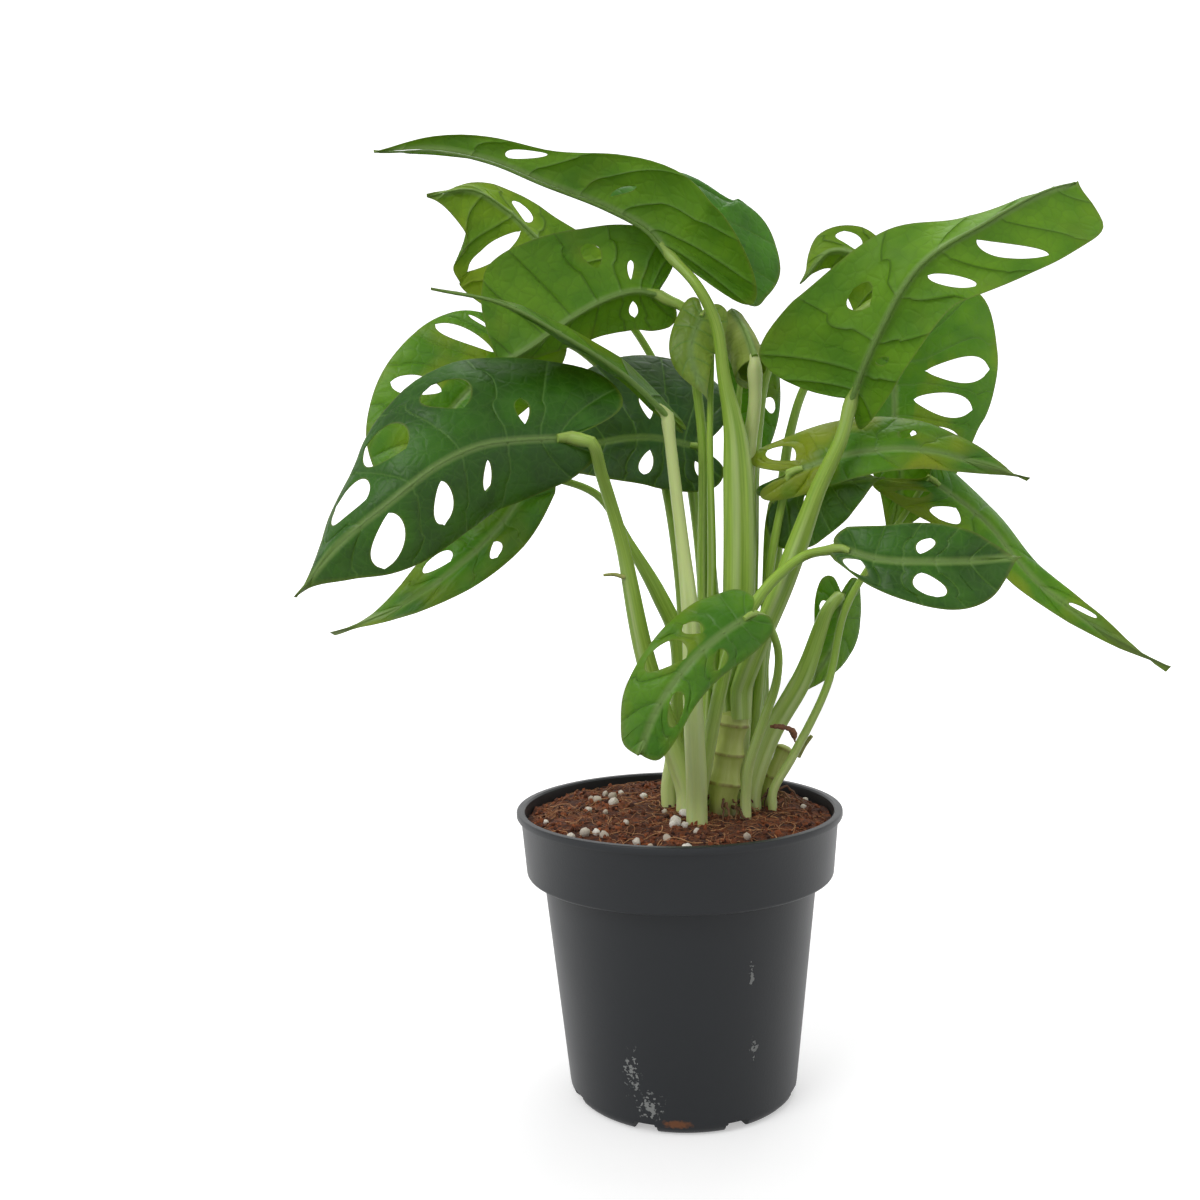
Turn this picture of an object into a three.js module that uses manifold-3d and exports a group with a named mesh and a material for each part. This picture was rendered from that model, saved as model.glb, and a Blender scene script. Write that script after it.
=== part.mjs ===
// A potted Swiss cheese vine (Monstera adansonii) in a round nursery pot.
// Millimetres, +Z up, the origin at the centre of the pot's underside.
import * as THREE from "three";
import { mergeVertices } from "three/addons/utils/BufferGeometryUtils.js";
import Module from "manifold-3d";

const wasm = await Module();
wasm.setup();

// ---- driving dimensions -----------------------------------------------------------------
const POT_HEIGHT = 105;
const RIM_RADIUS = 60;
const PLANT_HEIGHT = 250; // above the potting mix; every leaf and stalk below follows it
const BLADE_THICKNESS = 0.7;
const STALK_GIRTH = 1; // multiplies each stalk's and cane's radii, and spreads their feet to suit

// ---- clearances and fixed proportions ---------------------------------------------------
const GAP = 0.3; // between neighbouring pieces
const WALL = 1.4;
const BASE_PLATE = 2;
const BASE_CORNER = 4;
const LIP_DEPTH = 2.4;
const LIP_OVERHANG = 1.6;
const SKIRT_HEIGHT = 22.5;
const SKIRT_TAPER = 3.3; // how far the skirt's foot lies in from the rim
const SHOULDER = 6.2; // the step in from the skirt's foot to the body
const BODY_BASE_RADIUS = 42;
const SKIRT_RADIUS = RIM_RADIUS - SKIRT_TAPER;
const BODY_TOP_RADIUS = SKIRT_RADIUS - SHOULDER;
const DRAIN_COUNT = 8;
const DRAIN_WIDTH = 9;
const DRAIN_HEIGHT = 3.6;
const DRAIN_REACH = 9;
const CORNER_CUT = 0.29; // the chord of a quarter circle, as a share of its radius
const LIP_CHAMFER = 0.6;
const SHOULDER_CHAMFER = 1;
const MIX_BELOW_RIM = 1.2;
const MIX_EDGE_DROP = 3.4;
const MIX_FLAT_SHARE = 0.78;
const MODELLED_HEIGHT = 250; // the plant height that the leaf list is written for
const PLANT_SCALE = PLANT_HEIGHT / MODELLED_HEIGHT;
const MIX_TOP = POT_HEIGHT - MIX_BELOW_RIM;
const SEGMENTS = 48;
const SAME_POINT = 1e-4; // points closer than this are one

// ---- colours ----------------------------------------------------------------------------
const POT_GREY = 0x3b3f42;
const MIX_BROWN = 0x5a3a2a;
const CANE_GREEN = 0xa9b66a;
const SHEATH_BROWN = 0x6b4a34;
const STALK_GREEN = 0x83a64d;
const LEAF_GREENS = { deep: 0x2f6b2c, mid: 0x4a8a27, light: 0x6f9a24, teal: 0x2f5f45 };

function material(color, roughness) {
  return new THREE.MeshStandardMaterial({ color, roughness, metalness: 0 });
}

const plant = new THREE.Group();

function addPiece(name, geometry, color, roughness) {
  const mesh = new THREE.Mesh(geometry, material(color, roughness));
  mesh.name = name;
  plant.add(mesh);
}

// ---- solids and cuts --------------------------------------------------------------------
function toManifold(geometry) {
  const bare = geometry.clone();
  bare.deleteAttribute("normal");
  bare.deleteAttribute("uv");
  const merged = mergeVertices(bare, SAME_POINT);
  return new wasm.Manifold(new wasm.Mesh({
    numProp: 3,
    vertProperties: new Float32Array(merged.attributes.position.array),
    triVerts: new Uint32Array(merged.index.array),
  }));
}

function toGeometry(solid) {
  const mesh = solid.getMesh();
  const geometry = new THREE.BufferGeometry();
  geometry.setAttribute("position", new THREE.BufferAttribute(mesh.vertProperties, 3));
  geometry.setIndex(new THREE.BufferAttribute(mesh.triVerts, 1));
  geometry.computeVertexNormals();
  return geometry;
}

function lathe(profile) {
  const points = profile.map(([radius, z]) => new THREE.Vector2(radius, z));
  const geometry = new THREE.LatheGeometry(points, SEGMENTS);
  geometry.rotateX(Math.PI / 2); // the lathe turns about Y, the pot stands along Z
  return geometry;
}

// ---- pot --------------------------------------------------------------------------------
function bodyRadius(z) {
  const share = z / (POT_HEIGHT - SKIRT_HEIGHT);
  return THREE.MathUtils.lerp(BODY_BASE_RADIUS, BODY_TOP_RADIUS, share);
}

const skirtFoot = POT_HEIGHT - SKIRT_HEIGHT;
const skirtTopRadius = RIM_RADIUS - LIP_OVERHANG;

function potProfile() {
  const lipFoot = POT_HEIGHT - LIP_DEPTH;
  return [
    [0, 0],
    [BODY_BASE_RADIUS - BASE_CORNER, 0],
    [BODY_BASE_RADIUS - BASE_CORNER * CORNER_CUT, BASE_CORNER * CORNER_CUT],
    [bodyRadius(BASE_CORNER), BASE_CORNER],
    [bodyRadius(skirtFoot - SHOULDER_CHAMFER), skirtFoot - SHOULDER_CHAMFER],
    [SKIRT_RADIUS - SHOULDER_CHAMFER, skirtFoot - SHOULDER_CHAMFER],
    [SKIRT_RADIUS, skirtFoot],
    [skirtTopRadius, lipFoot - SHOULDER_CHAMFER],
    [RIM_RADIUS, lipFoot],
    [RIM_RADIUS, POT_HEIGHT - LIP_CHAMFER],
    [RIM_RADIUS - LIP_CHAMFER, POT_HEIGHT],
    [skirtTopRadius - WALL, POT_HEIGHT],
    [SKIRT_RADIUS - WALL, skirtFoot + WALL],
    [bodyRadius(skirtFoot) - WALL, skirtFoot],
    [bodyRadius(BASE_CORNER) - WALL, BASE_CORNER],
    [BODY_BASE_RADIUS - BASE_CORNER, BASE_PLATE],
    [0, BASE_PLATE],
  ];
}

function buildPot() {
  let pot = toManifold(lathe(potProfile()));
  for (let i = 0; i < DRAIN_COUNT; i += 1) {
    const slot = new THREE.BoxGeometry(DRAIN_WIDTH, 2 * DRAIN_REACH, 2 * DRAIN_HEIGHT);
    slot.translate(0, BODY_BASE_RADIUS, 0);
    slot.rotateZ(((i + 0.5) * 2 * Math.PI) / DRAIN_COUNT);
    pot = pot.subtract(toManifold(slot));
  }
  addPiece("pot", toGeometry(pot), POT_GREY, 0.45);
}

// ---- potting mix ------------------------------------------------------------------------
function buildMix() {
  const rimInside = skirtTopRadius - WALL - GAP;
  const edge = MIX_TOP - MIX_EDGE_DROP;
  const climb = (edge - skirtFoot - WALL) / (POT_HEIGHT - skirtFoot - WALL);
  const edgeRadius = THREE.MathUtils.lerp(SKIRT_RADIUS - WALL - GAP, rimInside, climb);
  const floor = BASE_CORNER + GAP;
  addPiece("potting_mix", lathe([
    [0, floor],
    [bodyRadius(floor) - WALL - GAP, floor],
    [bodyRadius(skirtFoot) - WALL - GAP, skirtFoot + GAP],
    [SKIRT_RADIUS - WALL - GAP, skirtFoot + WALL + GAP],
    [edgeRadius, edge],
    [MIX_FLAT_SHARE * rimInside, MIX_TOP],
    [0, MIX_TOP],
  ]), MIX_BROWN, 0.95);
}

// ---- curves -----------------------------------------------------------------------------
// Places in the leaf list are measured from the middle of the mix's surface.
function place([x, y, z]) {
  return new THREE.Vector3(x, y, z).multiplyScalar(PLANT_SCALE).add(new THREE.Vector3(0, 0, MIX_TOP));
}

function curveThrough(points) {
  return new THREE.CatmullRomCurve3(points, false, "centripetal");
}

function sampleList(values, share) {
  const at = share * (values.length - 1);
  const index = Math.min(Math.floor(at), values.length - 2);
  const f = at - index;
  const before = values[Math.max(index - 1, 0)];
  const after = values[Math.min(index + 2, values.length - 1)];
  const [a, b] = [values[index], values[index + 1]];
  const rise = (b - before) / 2;
  const fall = (after - a) / 2;
  const bend = 2 * a - 2 * b + rise + fall;
  const lift = 3 * b - 3 * a - 2 * rise - fall;
  return ((bend * f + lift) * f + rise) * f + a;
}

// ---- stalks and canes -------------------------------------------------------------------
// A round section of 1 mm is swept along the path, then each ring is swollen to its radius.
function taperedTube(points, radii, sides, step) {
  const path = curveThrough(points);
  const steps = Math.max(4, Math.round(path.getLength() / step));
  const section = new THREE.Shape(Array.from({ length: sides }, (_, i) => {
    const angle = (2 * Math.PI * i) / sides;
    return new THREE.Vector2(Math.cos(angle), Math.sin(angle));
  }));
  const geometry = new THREE.ExtrudeGeometry(section, { steps, extrudePath: path, bevelEnabled: false });
  const centres = path.getSpacedPoints(steps);
  const position = geometry.attributes.position;
  const point = new THREE.Vector3();
  for (let i = 0; i < position.count; i += 1) {
    point.fromBufferAttribute(position, i);
    const distances = centres.map((centre) => centre.distanceTo(point));
    const ring = distances.indexOf(Math.min(...distances));
    const radius = STALK_GIRTH * PLANT_SCALE * sampleList(radii, ring / steps);
    point.sub(centres[ring]).multiplyScalar(radius).add(centres[ring]);
    position.setXYZ(i, point.x, point.y, point.z);
  }
  geometry.computeVertexNormals();
  return geometry;
}

const STALK_SIDES = 8;
const STALK_STEP = 12;
const CANE_SIDES = 10;
const SHEATH_SIDES = 6;
const SHEATH_STEP = 4;
const BLADE_TO_STALK = 4; // from the blade's base to the stalk's end
const FOOT_RISE = 7; // a stalk's last stretch, upright
const BUNDLE_MIDDLE = [18, -5];

// Stouter stalks need room: a place moves out from the middle of the bundle with the girth,
// by more the nearer it is to the foot.
function spread([x, y, z], share) {
  const [middleX, middleY] = BUNDLE_MIDDLE;
  const stretch = 1 + (STALK_GIRTH - 1) * share;
  return place([middleX + (x - middleX) * stretch, middleY + (y - middleY) * stretch, z]);
}

function stalkPoints(leaf) {
  const points = leaf.stalk.map((point, i) => spread(point, (i + 1) / leaf.stalk.length));
  const base = place(leaf.rib[0]);
  const clear = BLADE_TO_STALK * PLANT_SCALE * STALK_GIRTH;
  const away = points[0].clone().sub(base).setLength(clear);
  points.unshift(base.add(away));
  const foot = spread(leaf.foot, 1);
  points.push(foot.clone().add(new THREE.Vector3(0, 0, FOOT_RISE)));
  points.push(foot.add(new THREE.Vector3(0, 0, GAP)));
  return points;
}

// ---- blades -----------------------------------------------------------------------------
// Half of a flat blade's outline from the notch at its base to its tip, one point for each
// lateral vein: along the midrib as a share of its length, out from it as a share of the
// half-width. MARGIN_ROOT is where the same vein leaves the midrib.
const MARGIN_ALONG = [0, -0.13, -0.1, 0.1, 0.34, 0.57, 0.76, 0.9, 1];
const MARGIN_OUT = [0, 0.36, 0.8, 1, 0.95, 0.74, 0.4, 0.1, 0];
const VEIN_ROOT = [0, 0.02, 0.06, 0.14, 0.27, 0.43, 0.61, 0.8, 1];
const VEIN_COUNT = MARGIN_ALONG.length - 1;
const ACROSS = 6; // cells between the midrib and the margin
const VEIN_SWEEP = 1.5;
const RIB_TAPER = 0.8; // how much of the midrib's swelling is gone at the tip

function bladeFrame(leaf, curve, length, along, side) {
  const share = THREE.MathUtils.clamp(along, 0, 1);
  const tangent = curve.getTangentAt(share);
  const origin = curve.getPointAt(share);
  origin.addScaledVector(tangent, (along - share) * length);
  const atTip = new THREE.Vector3(...(leaf.tips?.[side] ?? leaf[side]));
  const wing = new THREE.Vector3(...leaf[side]).lerp(atTip, share);
  const width = wing.length() * PLANT_SCALE;
  wing.addScaledVector(tangent, -wing.dot(tangent)).normalize();
  const upper = new THREE.Vector3();
  if (side === "right") upper.crossVectors(wing, tangent);
  else upper.crossVectors(tangent, wing);
  return { origin, wing, upper, width };
}

const UNCHANGED = [1, 1];
const RIPPLE_TURNS = 11; // a wavy margin's ripples from base to tip, in radians
const RIPPLE_LAG = 2; // the right half's ripples lag the left's, in radians

function bladePoint(leaf, curve, length, side, vein, across) {
  const half = side === "left" ? 0 : 1;
  const [marginAlong, marginOut] = leaf.shape?.[side] ?? [MARGIN_ALONG, MARGIN_OUT];
  const skewed = vein ** (leaf.skew ?? UNCHANGED)[half];
  let margin = sampleList(marginAlong, vein);
  if (margin < 0) margin *= (leaf.lobe ?? UNCHANGED)[half];
  const root = sampleList(VEIN_ROOT, vein);
  const along = root + (margin - root) * across ** VEIN_SWEEP;
  const frame = bladeFrame(leaf, curve, length, along, side);
  const reach = across * sampleList(marginOut, skewed);
  const bend = THREE.MathUtils.degToRad(leaf.bend[half]);
  const turn = bend * reach;
  const out = Math.sin(turn) / bend;
  const down = (1 - Math.cos(turn)) / bend;
  const ripple = (leaf.wave ?? 0) * across ** 2 * Math.sin(vein * RIPPLE_TURNS + half * RIPPLE_LAG);
  return frame.origin
    .addScaledVector(frame.wing, out * frame.width)
    .addScaledVector(frame.upper, ripple * PLANT_SCALE - down * frame.width);
}

const HOLE_END = 0.999; // a hole's banks meet here, as a share of its half-length

// How far a hole pushes its two banks apart along the margin, at a share of the way across.
function holeOpening(hole, across) {
  if (!hole) return 0;
  const [, , from, to, half] = hole;
  const middle = (from + to) / 2;
  const reach = (to - from) / 2;
  const x = (across - middle) / reach;
  return Math.abs(x) > HOLE_END ? 0 : half * Math.sqrt(1 - x * x);
}

// A hole starts and ends on grid columns, and leaves one column whole at the margin.
function snapped([side, vein, from, to, half]) {
  const first = Math.round(from * ACROSS);
  const last = Math.min(Math.round(to * ACROSS), ACROSS - 1);
  return [side, vein, first / ACROSS, last / ACROSS, half];
}

// The blade's middle surface: strips of cells between neighbouring veins, which share their
// edge points except along a hole, where each bank has points of its own.
function bladeSurface(leaf) {
  const curve = curveThrough(leaf.rib.map(place));
  const length = curve.getLength();
  const holes = (leaf.holes ?? []).map(snapped);
  const points = [];
  const swell = [];
  const triangles = [];
  const known = new Map();
  const vertex = (side, row, bank, column) => {
    const across = column / ACROSS;
    const hole = holes.find((h) => h[0] === side && h[1] === row && holeOpening(h, across) > 0);
    const ends = row === 0 || row === VEIN_COUNT;
    const key = [
      ends || column === 0 ? "rib" : side,
      row,
      hole ? bank : 0,
      ends ? 0 : column,
    ].join();
    if (!known.has(key)) {
      const vein = row / VEIN_COUNT + bank * holeOpening(hole, across);
      points.push(bladePoint(leaf, curve, length, side, vein, ends ? 0 : across));
      swell.push(column === 0 || ends ? 1 - RIB_TAPER * (row / VEIN_COUNT) : 0);
      known.set(key, points.length - 1);
    }
    return known.get(key);
  };
  for (const side of ["left", "right"]) {
    for (let row = 0; row < VEIN_COUNT; row += 1) {
      for (let column = 0; column < ACROSS; column += 1) {
        const a = vertex(side, row, 1, column);
        const b = vertex(side, row, 1, column + 1);
        const c = vertex(side, row + 1, -1, column + 1);
        const d = vertex(side, row + 1, -1, column);
        const corners = side === "right" ? [a, b, c, d] : [a, d, c, b];
        triangles.push(...quad(corners));
      }
    }
  }
  return { points, swell, triangles };
}

function quad([a, b, c, d]) {
  const pair = [[a, b, c], [a, c, d]];
  return pair.filter(([p, q, r]) => p !== q && q !== r && p !== r);
}

const RIB_SWELL = 0.5; // added to the half-thickness along the midrib, at its base

function thickened({ points, swell, triangles }) {
  const normals = points.map(() => new THREE.Vector3());
  const edges = new Map();
  for (const corners of triangles) {
    const [a, b, c] = corners.map((i) => points[i]);
    const normal = b.clone().sub(a).cross(c.clone().sub(a));
    corners.forEach((i) => normals[i].add(normal));
    corners.forEach((from, n) => edges.set(`${from},${corners[(n + 1) % 3]}`, [from, corners[(n + 1) % 3]]));
  }
  const count = points.length;
  const positions = [];
  for (const way of [1, -1]) {
    points.forEach((point, i) => {
      const half = BLADE_THICKNESS / 2 + RIB_SWELL * swell[i];
      const moved = point.clone().addScaledVector(normals[i].clone().normalize(), way * half);
      positions.push(moved.x, moved.y, moved.z);
    });
  }
  const index = [];
  for (const [a, b, c] of triangles) index.push(a, b, c, c + count, b + count, a + count);
  for (const [from, to] of edges.values()) {
    if (edges.has(`${to},${from}`)) continue;
    index.push(from, from + count, to + count, from, to + count, to);
  }
  const geometry = new THREE.BufferGeometry();
  geometry.setAttribute("position", new THREE.Float32BufferAttribute(positions, 3));
  geometry.setIndex(index);
  geometry.computeVertexNormals();
  return geometry;
}

// ---- leaves -----------------------------------------------------------------------------
// rib: the midrib from the blade's base to its tip. left, right: where each half points from
// the midrib and how wide it is, seen from base to tip with the upper face up. bend: degrees
// that each half curves away from the upper face. tips: where the halves point at the tip.
// skew above 1 carries the widest place towards the tip. lobe stretches the lobe behind the
// base. shape: a half's own outline, in place of MARGIN_ALONG and MARGIN_OUT. holes: side,
// vein, reach from and to as shares of the way from midrib to margin, and half the width as
// a share of the margin's run. stalk: from blade to foot.
const LEAVES = [
  {
    name: "crown", green: "mid",
    rib: [[0, -4, 202], [-7, -5, 210.5], [-22, -7, 218.5], [-44, -12, 226], [-62, -16, 232.5],
      [-81, -20, 235.5], [-101, -24, 234]],
    left: [8, -14, 30], right: [32, 20, 32], tips: { right: [-4, 30, -6] }, bend: [35, 20], wave: 1,
    shape: {
      left: [
        [0, -0.24, -0.29, -0.2, -0.02, 0.22, 0.46, 0.74, 1],
        [0, 0.22, 0.42, 0.64, 0.76, 0.6, 0.33, 0.18, 0],
      ],
      right: [
        [0, -0.28, -0.31, -0.27, -0.12, 0.06, 0.34, 0.68, 1],
        [0, 0.26, 0.5, 0.8, 1, 0.85, 0.5, 0.3, 0],
      ],
    },
    holes: [["left", 6, 0.25, 0.8, 0.025], ["left", 4, 0.15, 0.4, 0.012], ["right", 6, 0.2, 0.7, 0.03]],
    stalk: [[9.5, -11, 189], [16, -9, 176], [19, -6, 157], [23, -4, 135], [23, -4, 77], [20, -5, 50]],
    foot: [18, -5, 38], radii: [1.6, 2, 2.6, 4.6, 5, 4.8, 4.2],
  },
  {
    name: "upper_left", green: "light",
    rib: [[-29, 34, 202], [-47, 34, 216], [-60, 32, 228], [-73, 28, 235], [-90, 24, 232]],
    left: [6, 10, 10], right: [-16, 4, -30], bend: [20, 20], skew: [1, 1.5], lobe: [0.6, 0.6], wave: 1,
    holes: [["right", 5, 0.08, 0.85, 0.036], ["right", 3, 0.5, 0.8, 0.02], ["left", 5, 0.3, 0.8, 0.035]],
    stalk: [[-16, 42, 190], [-2, 46, 168], [8, 45, 135], [13, 28, 85], [11, 14, 38]],
    foot: [11, 12, 0], radii: [1.4, 1.7, 2.2, 2.5],
  },
  {
    name: "left_ribbed", green: "mid",
    rib: [[-4, 6, 190], [-12, 5, 191], [-25, 3, 187], [-40, 0, 178], [-51, -2, 170], [-62, -2, 164]],
    left: [-2, 4, 32], right: [0, 12, -10], bend: [25, 30], wave: 1,
    shape: {
      left: [
        [0, -0.08, -0.02, 0.1, 0.28, 0.5, 0.72, 0.92, 1],
        [0, 0.38, 0.6, 0.72, 0.82, 0.97, 1, 0.72, 0],
      ],
    },
    holes: [["left", 4, 0.45, 0.8, 0.03], ["left", 3, 0.2, 0.5, 0.012], ["right", 3, 0.3, 0.7, 0.03]],
    stalk: [[7, 4, 183], [10, 8, 158], [12, 8, 136], [11, 3, 77], [13, 6, 20]],
    foot: [13, 6, 0], radii: [1.8, 1.8, 2, 2.3],
  },
  {
    name: "left_rear", green: "light",
    rib: [[-55, 16, 177], [-68, 13, 164], [-82, 9, 149], [-94, 6, 134], [-103, 4, 116]],
    left: [14, -5, -14], right: [-23, 0, 20], bend: [20, 15], wave: 1,
    shape: {
      right: [
        [0, 0.02, 0.1, 0.24, 0.42, 0.6, 0.78, 0.93, 1],
        [0, 0.45, 0.78, 0.97, 1, 0.92, 0.66, 0.28, 0],
      ],
    },
    holes: [["right", 3, 0.12, 0.9, 0.036], ["right", 2, 0.4, 0.85, 0.014],
      ["right", 5, 0.25, 0.85, 0.034]],
    stalk: [[-36, 32, 176], [-18, 40, 160], [-4, 40, 135], [4, 24, 84], [4, 11, 20]],
    foot: [4, 9, 0], radii: [1.4, 1.7, 2.1, 2.4],
  },
  {
    name: "left_front", green: "deep",
    rib: [[-36, -34, 135], [-53, -42, 134], [-65, -48, 132], [-78, -53, 126], [-94, -56, 114],
      [-111, -54, 101], [-127, -48, 84]],
    left: [8, 6, -24], right: [4, 12, 38], tips: { right: [-4, 10, 28] }, bend: [30, 45],
    skew: [1.5, 1.1], lobe: [0.6, 1.5], wave: 1.5,
    holes: [["right", 6, 0.4, 0.92, 0.05], ["right", 5, 0.4, 0.9, 0.045], ["right", 4, 0.4, 0.8, 0.035],
      ["right", 3, 0.15, 0.4, 0.02], ["left", 6, 0.15, 0.9, 0.035], ["left", 5, 0.2, 0.7, 0.025],
      ["left", 4, 0.2, 0.6, 0.012]],
    stalk: [[-29, -37, 133], [-26, -30, 123], [-23, -24, 113], [-19, -19, 98], [-12, -13, 60],
      [-3, -7, 28]],
    foot: [3, -5, 0], radii: [2, 2.2, 2.6, 3.2, 3.6, 3.6],
  },
  {
    name: "left_low", green: "light",
    rib: [[-51, -10, 123], [-63, -12, 106], [-79, -14, 91], [-101, -14, 77], [-124, -12, 69]],
    left: [4, -4, -9], right: [-7, 6, 11], bend: [25, 20], lobe: [0.4, 0.4], wave: 3,
    holes: [["right", 5, 0.3, 0.8, 0.04], ["left", 4, 0.3, 0.7, 0.02]],
    stalk: [[-40, -4, 122], [-27, -6, 116], [-16, -6, 98], [-6, -5, 80], [1, -1, 62], [-1, 4, 20]],
    foot: [-3, 5, 0], radii: [1.2, 1.6, 2.6, 2.6, 2.6],
  },
  {
    name: "centre_rear", green: "teal",
    rib: [[13, 26, 135], [-7, 22, 139], [-26, 18, 137], [-41, 14, 132], [-56, 10, 124]],
    left: [-3, -4, -18], right: [-2, 12, 38], bend: [20, 25], wave: 1.5,
    holes: [["right", 4, 0.2, 0.5, 0.02], ["left", 4, 0.3, 0.8, 0.03], ["left", 2, 0.4, 0.8, 0.03]],
    stalk: [[15, 33, 124], [16, 28, 100], [17, 16, 61], [17, 15, 20]],
    foot: [17, 15, 0], radii: [1.4, 1.7, 2, 2.3],
  },
  {
    name: "centre_back", green: "mid",
    rib: [[34, 36, 168], [35.5, 39, 152], [33, 39, 136], [28, 36, 116]],
    left: [12, 1, 0], right: [-12, 1, 0], bend: [25, 25], wave: 1,
    holes: [["left", 4, 0.3, 0.8, 0.03]],
    stalk: [[30, 33, 162], [27, 30, 130], [24, 25, 90], [23, 20, 45]],
    foot: [22, 19.5, 0], radii: [1.1, 1.4, 1.7, 2],
  },
  {
    name: "left_edge_on", green: "mid",
    rib: [[-2, -10, 144], [-17, -20, 157], [-39, -32, 170], [-58, -40, 179], [-80, -46, 183]],
    left: [1, 18, 5], right: [-1, 18, 2], bend: [10, 10],
    stalk: [[0, -14, 121], [2, -18, 99], [4, -24, 72], [4, -28, 44], [5, -25, 15]],
    foot: [5, -24, 0], radii: [2, 2.2, 2.6, 3, 3.2],
  },
  {
    name: "young_quilted", green: "light",
    rib: [[12, -2, 182], [7, -6, 167], [13, -7.5, 149]],
    left: [11, 2, 0], right: [-9, 1, 0], bend: [20, 30],
    stalk: [[15, 2, 177], [14, 0, 135], [13.5, -2, 78], [9.5, 0.5, 20]],
    foot: [8.5, 1, 0], radii: [1, 1.3, 1.6, 1.8],
  },
  {
    name: "young_rolled", green: "light",
    rib: [[30, -6, 164], [28, 1, 174], [24, 12, 185]],
    left: [22, 2, 0], right: [-22, 2, 0], bend: [-250, -180],
    shape: {
      left: [
        [0, -0.06, -0.02, 0.1, 0.3, 0.5, 0.7, 0.88, 1],
        [0, 0.9, 1, 1, 0.97, 0.9, 0.75, 0.45, 0],
      ],
      right: [
        [0, -0.06, -0.02, 0.1, 0.3, 0.5, 0.7, 0.88, 1],
        [0, 0.9, 1, 1, 0.97, 0.9, 0.75, 0.45, 0],
      ],
    },
    stalk: [[30.5, -2, 150], [28.5, 4, 130], [27, 5, 91], [25, 4, 39]],
    foot: [22.5, 2, 0], radii: [1.4, 2.2, 2.8, 3, 2.8],
  },
  {
    name: "right_top", green: "mid",
    rib: [[62, -18, 147], [68, -30, 166], [80, -42, 188], [100, -46, 200], [119, -42, 210],
      [133, -36, 215]],
    left: [14, 2, -17], right: [-34, 10, 18], tips: { left: [12, -4, -20], right: [0, 28, -2] },
    bend: [20, 30], wave: 1,
    shape: {
      left: [
        [0, -0.08, 0.04, 0.2, 0.4, 0.6, 0.8, 0.98, 1],
        [0, 0.3, 0.5, 0.62, 0.75, 0.9, 1, 0.8, 0],
      ],
      right: [
        [0, -0.02, 0.02, 0.12, 0.34, 0.57, 0.76, 0.9, 1],
        [0, 0.4, 0.82, 1, 0.82, 0.55, 0.32, 0.14, 0],
      ],
    },
    holes: [["left", 5, 0.2, 0.8, 0.022], ["left", 6, 0.15, 0.85, 0.02], ["left", 3, 0.2, 0.5, 0.015],
      ["right", 4, 0.3, 0.6, 0.03]],
    stalk: [[58, -20, 134], [50, -17, 116], [44, -14, 99], [37, -14, 81], [29, -14, 63], [24, -13, 50]],
    foot: [22.5, -12, 38], radii: [2, 2.8, 3.4, 3.4, 3.2],
  },
  {
    name: "right_arch", green: "light",
    rib: [[79, 8, 187], [71, 6, 201], [60, 6, 204], [49, 8, 193]],
    left: [0, 6, 13], right: [0, 10, -10], bend: [20, 20],
    holes: [["left", 5, 0.3, 0.85, 0.05]],
    stalk: [[61, 14, 176], [41, 18, 169], [33, 18, 136], [30, 14, 91], [28, 14, 38]],
    foot: [26, 12, 0], radii: [1.8, 2.4, 2.8, 2.8],
  },
  {
    name: "right_rear", green: "light",
    rib: [[90, 34, 174], [89, 28, 144], [90, 26, 117], [84, 26, 93]],
    left: [41, -4, 5], right: [-16, -2, 2], bend: [20, 20], skew: [0.85, 1], lobe: [2, 1], wave: 1,
    holes: [["left", 3, 0.3, 0.9, 0.045], ["left", 4, 0.2, 0.82, 0.04], ["left", 5, 0.2, 0.9, 0.045],
      ["right", 3, 0.3, 0.8, 0.03], ["right", 4, 0.3, 0.6, 0.02]],
    stalk: [[78, 44, 176], [58, 34, 163], [48, 28, 140], [41, 24, 91], [33, 20, 37]],
    foot: [30, 20, 0], radii: [1.4, 1.8, 2.2, 2.4],
  },
  {
    name: "right_long_tip", green: "light",
    rib: [[42, -6, 123], [63, -12, 129], [85, -14, 130], [107, -12, 125], [128, -8, 119]],
    left: [-4, 8, 15], right: [0, -3, -9], bend: [25, 20], wave: 1.5,
    holes: [["left", 2, 0.3, 0.85, 0.055], ["left", 5, 0.3, 0.6, 0.02]],
    stalk: [[40, 0, 112], [35, 2, 84], [32, 5, 48], [29, 7, 20]],
    foot: [29, 7, 0], radii: [1.4, 1.7, 2, 2.2],
  },
  {
    name: "right_mid", green: "deep",
    rib: [[38, 6, 114], [50, 3, 118], [63, 0, 120], [78, 0, 121]],
    left: [0, 8, 9], right: [-2, -4, -21], bend: [20, 25], wave: 0.5,
    holes: [["right", 4, 0.15, 0.4, 0.03]],
    stalk: [[37, 14, 104], [36, 15, 80], [34, 13, 48], [34, 11, 20]],
    foot: [34, 11, 0], radii: [1.3, 1.7, 2, 2.2],
  },
  {
    name: "right_front", green: "deep",
    rib: [[54, -34, 96], [66, -40, 92], [82, -44, 91], [98, -44, 91], [113, -42, 92]],
    left: [-2, 3, 13], right: [-2, -6, -15], bend: [15, 25], skew: [1.5, 2], lobe: [0.3, 0.5], wave: 1,
    holes: [["right", 3, 0.3, 0.9, 0.05], ["right", 5, 0.25, 0.75, 0.05], ["left", 5, 0.2, 0.6, 0.03]],
    stalk: [[44, -21, 93], [31, -24, 83], [19, -24, 64], [14, -22, 47], [9, -16, 20]],
    foot: [7, -13, 0], radii: [1.5, 2, 2.4, 2.6],
  },
  {
    name: "right_far", green: "light",
    rib: [[98, 14, 121], [118, 10, 104], [134, 4, 82], [155, -4, 64], [177, -12, 50]],
    left: [8, 8, 10], right: [-9, -4, -11], bend: [20, 25], skew: [0.6, 0.65], wave: 3,
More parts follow.
